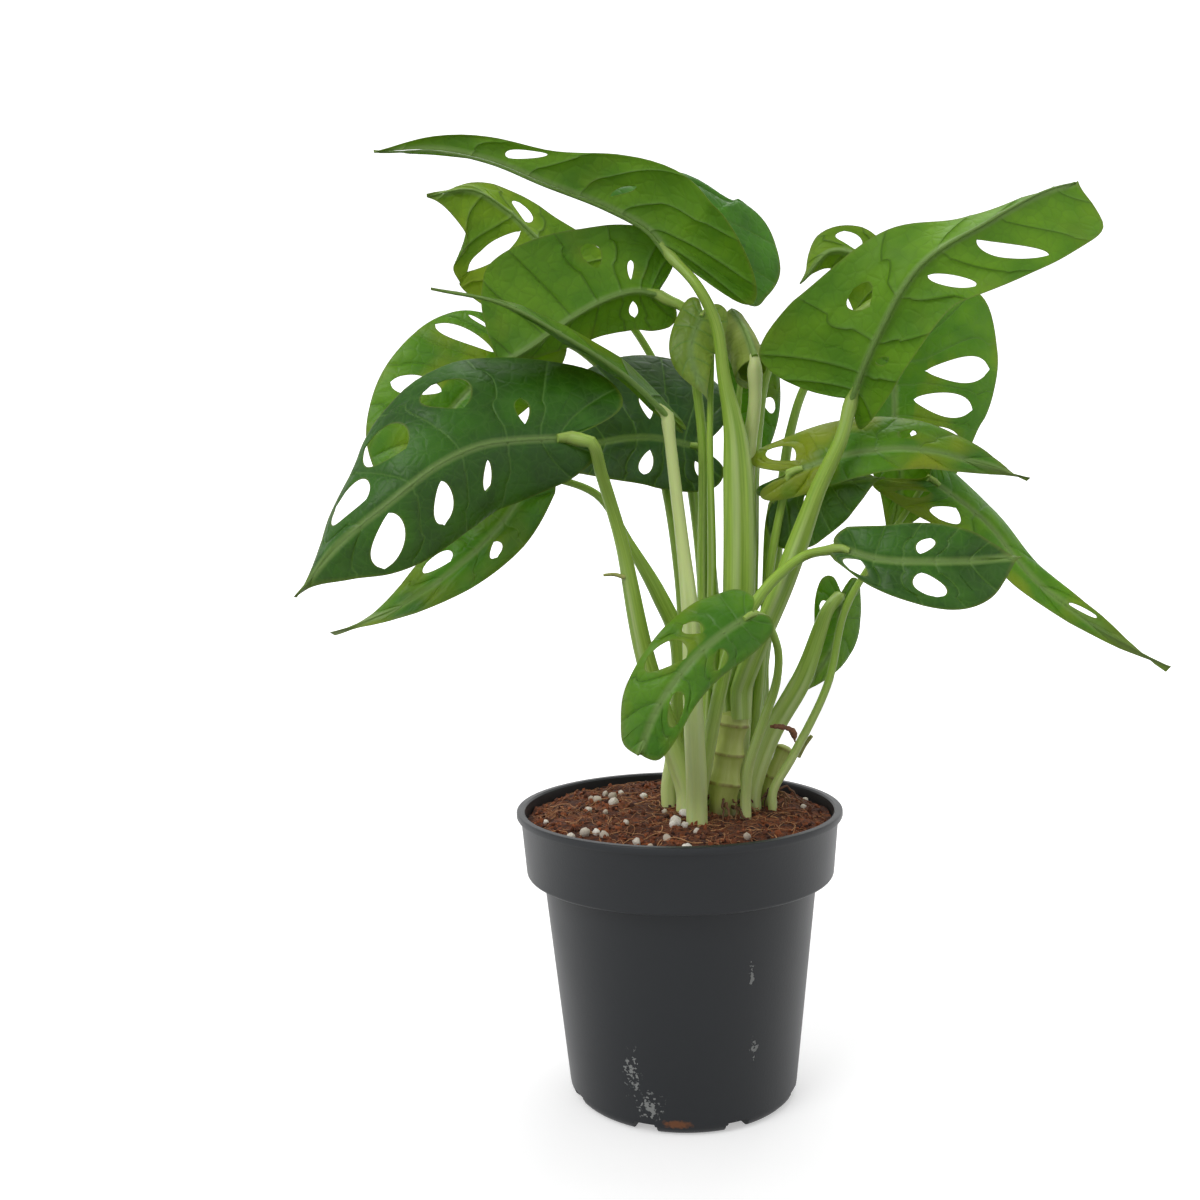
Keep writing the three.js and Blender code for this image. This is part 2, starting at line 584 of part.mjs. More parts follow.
    holes: [["right", 2, 0.3, 0.8, 0.03], ["right", 3, 0.3, 0.8, 0.04], ["left", 6, 0.3, 0.8, 0.02]],
    stalk: [[92, 20, 110], [80, 16, 94], [64, 6, 72], [56, 0, 45], [42, -6, 20]],
    foot: [34, -8, 0], radii: [1.1, 1.3, 1.4, 1.6],
  },
  {
    name: "low_right", green: "light",
    rib: [[64, 12, 78], [62, 12, 60], [46, 10, 38]],
    left: [9, 4, -4], right: [-9, 2, 4], bend: [20, 20],
    holes: [["right", 3, 0.3, 0.8, 0.04]],
    stalk: [[57, 4, 72], [47, 0, 48], [34, -4, 27]],
    foot: [27, -5, 0], radii: [1.8, 3.2, 3.2, 2.8],
  },
  {
    name: "low_front", green: "light",
    rib: [[23, -44, 75], [12, -50, 69], [1, -54, 60], [-9, -55, 47], [-16, -52, 30]],
    left: [8, -1, -8], right: [-11, 5, 9], bend: [20, 20], wave: 1.5,
    shape: {
      left: [
        [0, -0.06, -0.03, 0.14, 0.36, 0.58, 0.8, 0.98, 1],
        [0, 0.36, 0.8, 1, 0.95, 0.9, 0.9, 0.6, 0],
      ],
      right: [
        [0, -0.08, -0.05, 0.14, 0.36, 0.58, 0.8, 0.98, 1],
        [0, 0.36, 0.8, 1, 1, 0.95, 0.85, 0.5, 0],
      ],
    },
    holes: [["right", 4, 0.3, 0.7, 0.03], ["right", 5, 0.15, 0.85, 0.06], ["left", 4, 0.3, 0.8, 0.035],
      ["left", 6, 0.2, 0.8, 0.05]],
    stalk: [[28, -37, 73], [33, -32, 62], [33, -28, 50], [29, -24, 36], [24, -20, 19]],
    foot: [23, -18, 0], radii: [1.2, 1.4, 1.6, 1.9],
  },
];

const CANES = [
  { name: "main_cane", points: [[16, -9, 7], [18, -8, 20], [20.5, -8, 37]], radii: [5, 5.5, 5.2, 5.6] },
  { name: "side_cane", points: [[34, 2, 6], [37, 2, 14], [41, 3, 22]], radii: [3.2, 3, 2.8] },
];

function buildCane({ name, points, radii }) {
  const path = points.map((point) => spread(point, 1));
  const foot = path[0].clone();
  foot.z = MIX_TOP + GAP;
  path.unshift(foot);
  addPiece(name, taperedTube(path, radii, CANE_SIDES, STALK_STEP), CANE_GREEN, 0.5);
}

// A dead sheath that hangs in the bundle, dry and brown.
const DRIED_SHEATH = {
  name: "dried_sheath",
  points: [[31.5, -22, 33.5], [35, -23, 33.5], [39, -23, 32], [40, -23, 28]],
  radii: [0.5, 0.9, 0.9, 0.4],
};

function buildSheath({ name, points, radii }) {
  const path = points.map((point) => spread(point, 1));
  addPiece(name, taperedTube(path, radii, SHEATH_SIDES, SHEATH_STEP), SHEATH_BROWN, 0.8);
}

buildPot();
buildMix();
CANES.forEach(buildCane);
buildSheath(DRIED_SHEATH);
for (const leaf of LEAVES) {
  const stalk = taperedTube(stalkPoints(leaf), leaf.radii, STALK_SIDES, STALK_STEP);
  addPiece(`stalk_${leaf.name}`, stalk, STALK_GREEN, 0.5);
  addPiece(`blade_${leaf.name}`, thickened(bladeSurface(leaf)), LEAF_GREENS[leaf.green], 0.45);
}

export default plant;
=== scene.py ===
"""A potted Swiss cheese vine (Monstera adansonii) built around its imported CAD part.

Shapes are worked out in millimetres and become metres in make_piece.
"""
import math

import bmesh
import bpy
import numpy as np
from mathutils import Matrix, Vector, noise


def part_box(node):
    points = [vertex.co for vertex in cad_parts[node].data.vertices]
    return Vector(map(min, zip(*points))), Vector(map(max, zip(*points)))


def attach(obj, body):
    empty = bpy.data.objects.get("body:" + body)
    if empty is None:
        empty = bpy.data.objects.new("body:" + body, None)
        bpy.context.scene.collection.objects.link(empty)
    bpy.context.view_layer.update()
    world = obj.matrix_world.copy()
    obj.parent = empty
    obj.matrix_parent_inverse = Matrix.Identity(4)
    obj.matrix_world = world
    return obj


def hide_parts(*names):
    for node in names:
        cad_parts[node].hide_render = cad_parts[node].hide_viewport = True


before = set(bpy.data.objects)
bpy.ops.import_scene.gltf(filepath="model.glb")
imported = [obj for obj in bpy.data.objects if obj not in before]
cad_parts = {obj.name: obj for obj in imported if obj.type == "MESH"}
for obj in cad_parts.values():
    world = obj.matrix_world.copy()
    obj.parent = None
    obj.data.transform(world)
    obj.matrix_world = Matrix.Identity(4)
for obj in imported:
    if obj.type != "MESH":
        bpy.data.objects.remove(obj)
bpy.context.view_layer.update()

MM = 0.001

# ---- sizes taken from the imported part, in mm ----------------------------------------------
pot_low, pot_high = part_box("pot")
mix_low, mix_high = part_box("potting_mix")
POT_HEIGHT = pot_high.z / MM
RIM_RADIUS = pot_high.x / MM
MIX_TOP = mix_high.z / MM

# ---- sizes of this model's own, in mm -----------------------------------------------------
WALL = 1.4
BASE_PLATE = 2.0
BASE_CORNER = 4.0
BASE_RADIUS = 42.0
LIP_DEPTH = 2.4
LIP_OVERHANG = 1.6
SKIRT_HEIGHT = 22.5
SKIRT_TAPER = 3.3
SHOULDER = 6.2
DRAIN_COUNT = 8
DRAIN_WIDTH = 9.0
DRAIN_HEIGHT = 3.6
MIX_EDGE_DROP = 3.4
MIX_FLAT_SHARE = 0.78
BLADE_THICKNESS = 0.4

# ---- the plant ----------------------------------------------------------------------------
# Places are measured from the middle of the mix's surface. rib: the midrib from the blade's
# base to its tip. left, right: where each half points and how wide it is, seen from base to
# tip with the upper face up; tips: the same at the tip. bend: degrees that each half curves
# away from the upper face. wave: the height of the margin's ripples. skew above 1 carries the
# widest place towards the tip. lobe stretches the lobe behind the base. shape: a half's own
# outline, as MARGIN_ALONG and MARGIN_OUT below. holes: side, vein, reach from and to as
# shares of the way from midrib to margin, and half the width as a share of the margin's run.
# stalk: from blade to foot, with its radii from blade to foot. green: the kind of green in
# LEAF_GREENS; slot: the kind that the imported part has, where that differs. yellow: how far
# the blade has yellowed. quilt: its quilting, as a share of a grown leaf's. pale: how far the
# stalk is bleached.
ROLLED_HALF = ((0, -0.06, -0.02, 0.1, 0.3, 0.5, 0.7, 0.88, 1),
               (0, 0.9, 1, 1, 0.97, 0.9, 0.75, 0.45, 0))
LEAVES = [
    dict(
        name="crown", green="mid", yellow=0.1,
        rib=[(0, -4, 202), (-7, -5, 210.5), (-22, -7, 218.5), (-44, -12, 226),
             (-62, -16, 232.5), (-81, -20, 235.5), (-101, -24, 234)],
        left=(8, -14, 30), right=(32, 20, 32), tips=dict(right=(-4, 30, -6)), bend=(35, 20),
        shape=dict(
            left=((0, -0.24, -0.29, -0.2, -0.02, 0.22, 0.46, 0.74, 1),
                  (0, 0.22, 0.42, 0.64, 0.76, 0.6, 0.33, 0.18, 0)),
            right=((0, -0.28, -0.31, -0.27, -0.12, 0.06, 0.34, 0.68, 1),
                   (0, 0.26, 0.5, 0.8, 1, 0.85, 0.5, 0.3, 0)),
        ),
        wave=1,
        holes=[("left", 6, 0.25, 0.8, 0.025), ("left", 4, 0.15, 0.4, 0.012),
               ("right", 6, 0.2, 0.7, 0.03)],
        stalk=[(9.5, -11, 189), (16, -9, 176), (19, -6, 157), (23, -4, 135), (23, -4, 77),
               (20, -5, 50)],
        foot=(18, -5, 38), radii=(1.6, 2, 2.6, 4.6, 5, 4.8, 4.2),
    ),
    dict(
        name="upper_left", green="light", yellow=0.25,
        rib=[(-29, 34, 202), (-47, 34, 216), (-60, 32, 228), (-73, 28, 235), (-90, 24, 232)],
        left=(6, 10, 10), right=(-16, 4, -30), bend=(20, 20), skew=(1, 1.5), lobe=(0.6, 0.6),
        wave=1,
        holes=[("right", 5, 0.08, 0.85, 0.036), ("right", 3, 0.5, 0.8, 0.02),
               ("left", 5, 0.3, 0.8, 0.035)],
        stalk=[(-16, 42, 190), (-2, 46, 168), (8, 45, 135), (13, 28, 85), (11, 14, 38)],
        foot=(11, 12, 0), radii=(1.4, 1.7, 2.2, 2.5),
    ),
    dict(
        name="left_ribbed", green="mid", yellow=0.2,
        rib=[(-4, 6, 190), (-12, 5, 191), (-25, 3, 187), (-40, 0, 178), (-51, -2, 170),
             (-62, -2, 164)],
        left=(-2, 4, 32), right=(0, 12, -10), bend=(25, 30),
        shape=dict(
            left=((0, -0.08, -0.02, 0.1, 0.28, 0.5, 0.72, 0.92, 1),
                  (0, 0.38, 0.6, 0.72, 0.82, 0.97, 1, 0.72, 0)),
        ),
        wave=1,
        holes=[("left", 4, 0.45, 0.8, 0.03), ("left", 3, 0.2, 0.5, 0.012),
               ("right", 3, 0.3, 0.7, 0.03)],
        stalk=[(7, 4, 183), (10, 8, 158), (12, 8, 136), (11, 3, 77), (13, 6, 20)],
        foot=(13, 6, 0), radii=(1.8, 1.8, 2, 2.3),
    ),
    dict(
        name="left_rear", green="light", yellow=0.3,
        rib=[(-55, 16, 177), (-68, 13, 164), (-82, 9, 149), (-94, 6, 134), (-103, 4, 116)],
        left=(14, -5, -14), right=(-23, 0, 20), bend=(20, 15),
        shape=dict(
            right=((0, 0.02, 0.1, 0.24, 0.42, 0.6, 0.78, 0.93, 1),
                   (0, 0.45, 0.78, 0.97, 1, 0.92, 0.66, 0.28, 0)),
        ),
        wave=1,
        holes=[("right", 3, 0.12, 0.9, 0.036), ("right", 2, 0.4, 0.85, 0.014),
               ("right", 5, 0.25, 0.85, 0.034)],
        stalk=[(-36, 32, 176), (-18, 40, 160), (-4, 40, 135), (4, 24, 84), (4, 11, 20)],
        foot=(4, 9, 0), radii=(1.4, 1.7, 2.1, 2.4),
    ),
    dict(
        name="left_front", green="deep", yellow=0,
        rib=[(-36, -34, 135), (-53, -42, 134), (-65, -48, 132), (-78, -53, 126),
             (-94, -56, 114), (-111, -54, 101), (-127, -48, 84)],
        left=(8, 6, -24), right=(4, 12, 38), tips=dict(right=(-4, 10, 28)), bend=(30, 45),
        skew=(1.5, 1.1), lobe=(0.6, 1.5),
        wave=1.5,
        holes=[("right", 6, 0.4, 0.92, 0.05), ("right", 5, 0.4, 0.9, 0.045),
               ("right", 4, 0.4, 0.8, 0.035), ("right", 3, 0.15, 0.4, 0.02),
               ("left", 6, 0.15, 0.9, 0.035), ("left", 5, 0.2, 0.7, 0.025),
               ("left", 4, 0.2, 0.6, 0.012)],
        stalk=[(-29, -37, 133), (-26, -30, 123), (-23, -24, 113), (-19, -19, 98),
               (-12, -13, 60), (-3, -7, 28)],
        foot=(3, -5, 0), radii=(2, 2.2, 2.6, 3.2, 3.6, 3.6),
    ),
    dict(
        name="left_low", green="mid", slot="light", yellow=0.3,
        rib=[(-51, -10, 123), (-63, -12, 106), (-79, -14, 91), (-101, -14, 77),
             (-124, -12, 69)],
        left=(4, -4, -9), right=(-7, 6, 11), bend=(25, 20), lobe=(0.4, 0.4), wave=3,
        holes=[("right", 5, 0.3, 0.8, 0.04), ("left", 4, 0.3, 0.7, 0.02)],
        stalk=[(-40, -4, 122), (-27, -6, 116), (-16, -6, 98), (-6, -5, 80), (1, -1, 62),
               (-1, 4, 20)],
        foot=(-3, 5, 0), radii=(1.2, 1.6, 2.6, 2.6, 2.6),
    ),
    dict(
        name="centre_rear", green="teal", yellow=0,
        rib=[(13, 26, 135), (-7, 22, 139), (-26, 18, 137), (-41, 14, 132), (-56, 10, 124)],
        left=(-3, -4, -18), right=(-2, 12, 38), bend=(20, 25), wave=1.5,
        holes=[("right", 4, 0.2, 0.5, 0.02), ("left", 4, 0.3, 0.8, 0.03),
               ("left", 2, 0.4, 0.8, 0.03)],
        stalk=[(15, 33, 124), (16, 28, 100), (17, 16, 61), (17, 15, 20)],
        foot=(17, 15, 0), radii=(1.4, 1.7, 2, 2.3),
    ),
    dict(
        name="centre_back", green="mid", yellow=0.2,
        rib=[(34, 36, 168), (35.5, 39, 152), (33, 39, 136), (28, 36, 116)],
        left=(12, 1, 0), right=(-12, 1, 0), bend=(25, 25), wave=1,
        holes=[("left", 4, 0.3, 0.8, 0.03)],
        stalk=[(30, 33, 162), (27, 30, 130), (24, 25, 90), (23, 20, 45)],
        foot=(22, 19.5, 0), radii=(1.1, 1.4, 1.7, 2),
    ),
    dict(
        name="left_edge_on", green="mid", yellow=0.2,
        rib=[(-2, -10, 144), (-17, -20, 157), (-39, -32, 170), (-58, -40, 179),
             (-80, -46, 183)],
        left=(1, 18, 5), right=(-1, 18, 2), bend=(10, 10),
        stalk=[(0, -14, 121), (2, -18, 99), (4, -24, 72), (4, -28, 44), (5, -25, 15)],
        foot=(5, -24, 0), radii=(2, 2.2, 2.6, 3, 3.2), pale=0.7,
    ),
    dict(
        name="young_quilted", green="young", slot="light", yellow=0, quilt=0.5,
        rib=[(12, -2, 182), (7, -6, 167), (13, -7.5, 149)],
        left=(11, 2, 0), right=(-9, 1, 0), bend=(20, 30),
        stalk=[(15, 2, 177), (14, 0, 135), (13.5, -2, 78), (9.5, 0.5, 20)],
        foot=(8.5, 1, 0), radii=(1, 1.3, 1.6, 1.8),
    ),
    dict(
        name="young_rolled", green="young", slot="light", yellow=0.2, quilt=0.1,
        rib=[(30, -6, 164), (28, 1, 174), (24, 12, 185)],
        left=(22, 2, 0), right=(-22, 2, 0), bend=(-250, -180),
        shape=dict(left=ROLLED_HALF, right=ROLLED_HALF),
        stalk=[(30.5, -2, 150), (28.5, 4, 130), (27, 5, 91), (25, 4, 39)],
        foot=(22.5, 2, 0), radii=(2.2, 2.8, 3.2, 3.2, 2.8), pale=0.9,
    ),
    dict(
        name="right_top", green="mid", yellow=0.1,
        rib=[(62, -18, 147), (68, -30, 166), (80, -42, 188), (100, -46, 200),
             (119, -42, 210), (133, -36, 215)],
        left=(14, 2, -17), right=(-34, 10, 18),
        tips=dict(left=(12, -4, -20), right=(0, 28, -2)),
        shape=dict(
            left=((0, -0.08, 0.04, 0.2, 0.4, 0.6, 0.8, 0.98, 1),
                  (0, 0.3, 0.5, 0.62, 0.75, 0.9, 1, 0.8, 0)),
            right=((0, -0.02, 0.02, 0.12, 0.34, 0.57, 0.76, 0.9, 1),
                   (0, 0.4, 0.82, 1, 0.82, 0.55, 0.32, 0.14, 0)),
        ),
        bend=(20, 30), wave=1,
        holes=[("left", 5, 0.2, 0.8, 0.022), ("left", 6, 0.15, 0.85, 0.02),
               ("left", 3, 0.2, 0.5, 0.015), ("right", 4, 0.3, 0.6, 0.03)],
        stalk=[(58, -20, 134), (50, -17, 116), (44, -14, 99), (37, -14, 81), (29, -14, 63),
               (24, -13, 50)],
        foot=(22.5, -12, 38), radii=(2, 2.8, 3.4, 3.4, 3.2),
    ),
    dict(
        name="right_arch", green="light", yellow=0.2,
        rib=[(79, 8, 187), (71, 6, 201), (60, 6, 204), (49, 8, 193)],
        left=(0, 6, 13), right=(0, 10, -10), bend=(20, 20),
        holes=[("left", 5, 0.3, 0.85, 0.05)],
        stalk=[(61, 14, 176), (41, 18, 169), (33, 18, 136), (30, 14, 91), (28, 14, 38)],
        foot=(26, 12, 0), radii=(1.8, 2.4, 2.8, 2.8),
    ),
    dict(
        name="right_rear", green="light", yellow=0.25,
        rib=[(90, 34, 174), (89, 28, 144), (90, 26, 117), (84, 26, 93)],
        left=(41, -4, 5), right=(-16, -2, 2), bend=(20, 20), skew=(0.85, 1), lobe=(2, 1),
        wave=1,
        holes=[("left", 3, 0.3, 0.9, 0.045), ("left", 4, 0.2, 0.82, 0.04),
               ("left", 5, 0.2, 0.9, 0.045), ("right", 3, 0.3, 0.8, 0.03),
               ("right", 4, 0.3, 0.6, 0.02)],
        stalk=[(78, 44, 176), (58, 34, 163), (48, 28, 140), (41, 24, 91), (33, 20, 37)],
        foot=(30, 20, 0), radii=(1.4, 1.8, 2.2, 2.4),
    ),
    dict(
        name="right_long_tip", green="light", yellow=0.5,
        rib=[(42, -6, 123), (63, -12, 129), (85, -14, 130), (107, -12, 125), (128, -8, 119)],
        left=(-4, 8, 15), right=(0, -3, -9), bend=(25, 20), wave=1.5,
        holes=[("left", 2, 0.3, 0.85, 0.055), ("left", 5, 0.3, 0.6, 0.02)],
        stalk=[(40, 0, 112), (35, 2, 84), (32, 5, 48), (29, 7, 20)],
        foot=(29, 7, 0), radii=(1.4, 1.7, 2, 2.2),
    ),
    dict(
        name="right_mid", green="deep", yellow=0,
        rib=[(38, 6, 114), (50, 3, 118), (63, 0, 120), (78, 0, 121)],
        left=(0, 8, 9), right=(-2, -4, -21), bend=(20, 25), wave=0.5,
        holes=[("right", 4, 0.15, 0.4, 0.03)],
        stalk=[(37, 14, 104), (36, 15, 80), (34, 13, 48), (34, 11, 20)],
        foot=(34, 11, 0), radii=(1.3, 1.7, 2, 2.2),
    ),
    dict(
        name="right_front", green="deep", yellow=0,
        rib=[(54, -34, 96), (66, -40, 92), (82, -44, 91), (98, -44, 91), (113, -42, 92)],
        left=(-2, 3, 13), right=(-2, -6, -15), bend=(15, 25), skew=(1.5, 2),
        lobe=(0.3, 0.5), wave=1,
        holes=[("right", 3, 0.3, 0.9, 0.05), ("right", 5, 0.25, 0.75, 0.05),
               ("left", 5, 0.2, 0.6, 0.03)],
        stalk=[(44, -21, 93), (31, -24, 83), (19, -24, 64), (14, -22, 47), (9, -16, 20)],
        foot=(7, -13, 0), radii=(1.5, 2, 2.4, 2.6),
    ),
    dict(
        name="right_far", green="light", yellow=0.4,
        rib=[(98, 14, 121), (118, 10, 104), (134, 4, 82), (155, -4, 64), (177, -12, 50)],
        left=(8, 8, 10), right=(-9, -4, -11), bend=(20, 25), skew=(0.6, 0.65), wave=3,
        holes=[("right", 2, 0.3, 0.8, 0.03), ("right", 3, 0.3, 0.8, 0.04),
               ("left", 6, 0.3, 0.8, 0.02)],
        stalk=[(92, 20, 110), (80, 16, 94), (64, 6, 72), (56, 0, 45), (42, -6, 20)],
        foot=(34, -8, 0), radii=(1.1, 1.3, 1.4, 1.6),
    ),
    dict(
        name="low_right", green="light", yellow=0.1,
        rib=[(64, 12, 78), (62, 12, 60), (46, 10, 38)],
        left=(9, 4, -4), right=(-9, 2, 4), bend=(20, 20),
        holes=[("right", 3, 0.3, 0.8, 0.04)],
        stalk=[(57, 4, 72), (47, 0, 48), (34, -4, 27)],
        foot=(27, -5, 0), radii=(1.8, 3.2, 3.2, 2.8),
    ),
    dict(
        name="low_front", green="light", yellow=0.3,
        rib=[(23, -44, 75), (12, -50, 69), (1, -54, 60), (-9, -55, 47), (-16, -52, 30)],
        left=(8, -1, -8), right=(-11, 5, 9), bend=(20, 20), wave=1.5,
        shape=dict(
            left=((0, -0.06, -0.03, 0.14, 0.36, 0.58, 0.8, 0.98, 1),
                  (0, 0.36, 0.8, 1, 0.95, 0.9, 0.9, 0.6, 0)),
            right=((0, -0.08, -0.05, 0.14, 0.36, 0.58, 0.8, 0.98, 1),
                   (0, 0.36, 0.8, 1, 1, 0.95, 0.85, 0.5, 0)),
        ),
        holes=[("right", 4, 0.3, 0.7, 0.03), ("right", 5, 0.15, 0.85, 0.06),
               ("left", 4, 0.3, 0.8, 0.035), ("left", 6, 0.2, 0.8, 0.05)],
        stalk=[(28, -37, 73), (33, -32, 62), (33, -28, 50), (29, -24, 36), (24, -20, 19)],
        foot=(23, -18, 0), radii=(1.2, 1.4, 1.6, 1.9),
    ),
]

CANES = [
    dict(name="main_cane", path=[(16, -9, 0), (16, -9, 7), (18, -8, 20), (20.5, -8, 37)],
         radii=(5, 5.5, 5.2, 5.6)),
    dict(name="side_cane", path=[(34, 2, 0), (34, 2, 6), (37, 2, 14), (41, 3, 22)],
         radii=(3.2, 3, 2.8)),
]


# ---- small numbers work -------------------------------------------------------------------
def length_of(vectors):
    return np.linalg.norm(vectors, axis=-1, keepdims=True)


def unit(vectors):
    return vectors / np.maximum(length_of(vectors), 1e-9)


def dot(a, b):
    return np.sum(a * b, axis=-1, keepdims=True)


def ease(low, high, value):
    """0 at low, 1 at high, with a soft start and stop. Low may be the larger."""
    share = np.clip((value - low) / (high - low), 0, 1)
    return share * share * (3 - 2 * share)


def sample(values, share):
    """A smooth curve through evenly spaced values, read at shares from 0 to 1."""
    values = np.asarray(values, float)
    at = np.clip(np.asarray(share, float), 0, 1) * (len(values) - 1)
    index = np.minimum(at.astype(int), len(values) - 2)
    f = at - index
    before = values[np.maximum(index - 1, 0)]
    a, b = values[index], values[index + 1]
    after = values[np.minimum(index + 2, len(values) - 1)]
    rise, fall = (b - before) / 2, (after - a) / 2
    bend = 2 * a - 2 * b + rise + fall
    lift = 3 * b - 3 * a - 2 * rise - fall
    return ((bend * f + lift) * f + rise) * f + a


class Rail:
    """The smooth curve through some points, read by share of its length."""

    STEPS = 40

    def __init__(self, points):
        points = np.asarray(points, float)
        first = 2 * points[0] - points[1]
        last = 2 * points[-1] - points[-2]
        points = np.vstack([first, points, last])
        gaps = np.sqrt(length_of(np.diff(points, axis=0)))
        f = np.linspace(0, 1, self.STEPS, endpoint=False)[:, None]
        runs = []
        for i in range(1, len(points) - 2):
            p0, p1, p2, p3 = points[i - 1:i + 3]
            g0, g1, g2 = gaps[i - 1], gaps[i], gaps[i + 1]
            out = ((p1 - p0) / g0 - (p2 - p0) / (g0 + g1) + (p2 - p1) / g1) * g1
            into = ((p2 - p1) / g1 - (p3 - p1) / (g1 + g2) + (p3 - p2) / g2) * g1
            bend = 2 * p1 - 2 * p2 + out + into
            lift = 3 * p2 - 3 * p1 - 2 * out - into
            runs.append(((bend * f + lift) * f + out) * f + p1)
        self.line = np.vstack(runs + [points[-2]])
        steps = length_of(np.diff(self.line, axis=0))[:, 0]
        reached = np.concatenate([[0], np.cumsum(steps)])
        self.length = reached[-1]
        self.shares = reached / self.length
        self.directions = unit(np.gradient(self.line, axis=0))

    def read(self, table, share):
        return np.stack([np.interp(share, self.shares, table[:, i]) for i in range(3)], -1)

    def point(self, share):
        return self.read(self.line, share)

    def direction(self, share):
        return unit(self.read(self.directions, share))


# ---- shells: points in mm, faces, and named numbers for each point --------------------------
def shell(points, faces, **values):
    return dict(points=np.asarray(points, float), faces=list(faces), values=values)


def joined(shells):
    points, faces, start = [], [], 0
    for part in shells:
        points.append(part["points"])
        faces += [tuple(start + int(i) for i in face) for face in part["faces"]]
        start += len(part["points"])
    names = shells[0]["values"]
    values = {n: np.concatenate([part["values"][n] for part in shells]) for n in names}
    return shell(np.vstack(points), faces, **values)


def grid_faces(index):
    """Four-cornered faces between the neighbouring rows and columns of a grid of points."""
    corners = [index[:-1, :-1], index[:-1, 1:], index[1:, 1:], index[1:, :-1]]
    return np.stack(corners, -1).reshape(-1, 4)


def turned_frames(directions, towards):
    """Two directions square to each step of a path, which turn with it and never twist."""
    sides = np.zeros_like(directions)
    side = np.asarray(towards, float)
    for i, way in enumerate(directions):
        side = unit(side - way * np.dot(side, way))
        sides[i] = side
    return sides, np.cross(directions, sides)


SHARP_ANGLE = math.radians(50)


def make_piece(name, body, part, material, replaced=(), sharp=SHARP_ANGLE):
    """Builds one piece from a shell, sets it under its body and hides the imported parts it
    replaces.
    """
    mesh = bpy.data.meshes.new(name)
    mesh.from_pydata((part["points"] * MM).tolist(), [], part["faces"])
    for key, numbers in part["values"].items():
        numbers = np.asarray(numbers, np.float32)
        kind, field = ("FLOAT", "value") if numbers.ndim == 1 else ("FLOAT_VECTOR", "vector")
        attribute = mesh.attributes.new(key, kind, "POINT")
        attribute.data.foreach_set(field, numbers.ravel())
    mesh.polygons.foreach_set("use_smooth", [True] * len(mesh.polygons))
    mesh.set_sharp_from_angle(angle=sharp)
    mesh.validate()
    mesh.materials.append(material)
    piece = bpy.data.objects.new(name, mesh)
    bpy.context.scene.collection.objects.link(piece)
    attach(piece, body)
    if replaced:
        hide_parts(*replaced)
    return piece


# ---- blades -------------------------------------------------------------------------------
# Half of a flat blade's outline from the notch at its base to its tip, and where the same
# vein leaves the midrib, as shares of the midrib's length and of the half's width.
MARGIN_ALONG = (0, -0.13, -0.1, 0.1, 0.34, 0.57, 0.76, 0.9, 1)
MARGIN_OUT = (0, 0.36, 0.8, 1, 0.95, 0.74, 0.4, 0.1, 0)
VEIN_ROOT = (0, 0.02, 0.06, 0.14, 0.27, 0.43, 0.61, 0.8, 1)
STRIPS = len(MARGIN_ALONG) - 1
VEIN_SWEEP = 1.5
EVEN = (1, 1)
COLUMNS = 36
# Steps across a strip, closest together at the side vein that runs down its middle.
STRIP_STEPS = np.array([0, 0.14, 0.27, 0.37, 0.44, 0.48, 0.5, 0.52, 0.56, 0.63, 0.73, 0.86, 1])
RIPPLE_TURNS = 11  # a wavy margin's ripples from base to tip, in radians
RIPPLE_LAG = 2  # how far the right half's ripples lag the left's, in radians
HOLE_POINT = 0.6  # 0.5 makes a hole an ellipse, and more makes its ends sharper
HOLE_DROP = 0.25  # how much wider a hole is towards the margin
QUILT_HEIGHT = 0.75
QUILT_ROUND = 0.8  # below 1, a quilted cushion is fuller than a cosine
QUILT_FROM_RIB = (0, 0.3)  # where the quilting swells, as shares of the way across
QUILT_TO_EDGE = (1.15, 0.8)
QUILT_FULL_RUN = 14  # a strip this wide is quilted in full
VEIN_HEIGHT = 0.22
VEIN_REACH = 0.7
VEIN_BELOW = 1.4  # a side vein stands out below this much more than it sinks above
VEIN_END = 2  # side veins fade out this close to the margin
EDGE_THICKNESS = 0.45  # at the margin, as a share of the blade's own
EDGE_REACH = 1.2
MIDRIB_SINK = 0.45
MIDRIB_TROUGH = 3  # half the width of the trough along the midrib
LEAST_WIDTH = 0.1
POINT_DECIMALS = 3  # points that agree so far are one


def opening(holes, side, row, across):
    """How far a hole pushes its banks apart, at shares of the way across."""
    found = [h for h in holes if h[0] == side and h[1] == row]
    wide = np.zeros_like(across)
    for _, _, start, end, half in found:
        x = (across - (start + end) / 2) / ((end - start) / 2)
        wide += half * np.clip(1 - x * x, 0, 1) ** HOLE_POINT * (1 + HOLE_DROP * x)
    return wide


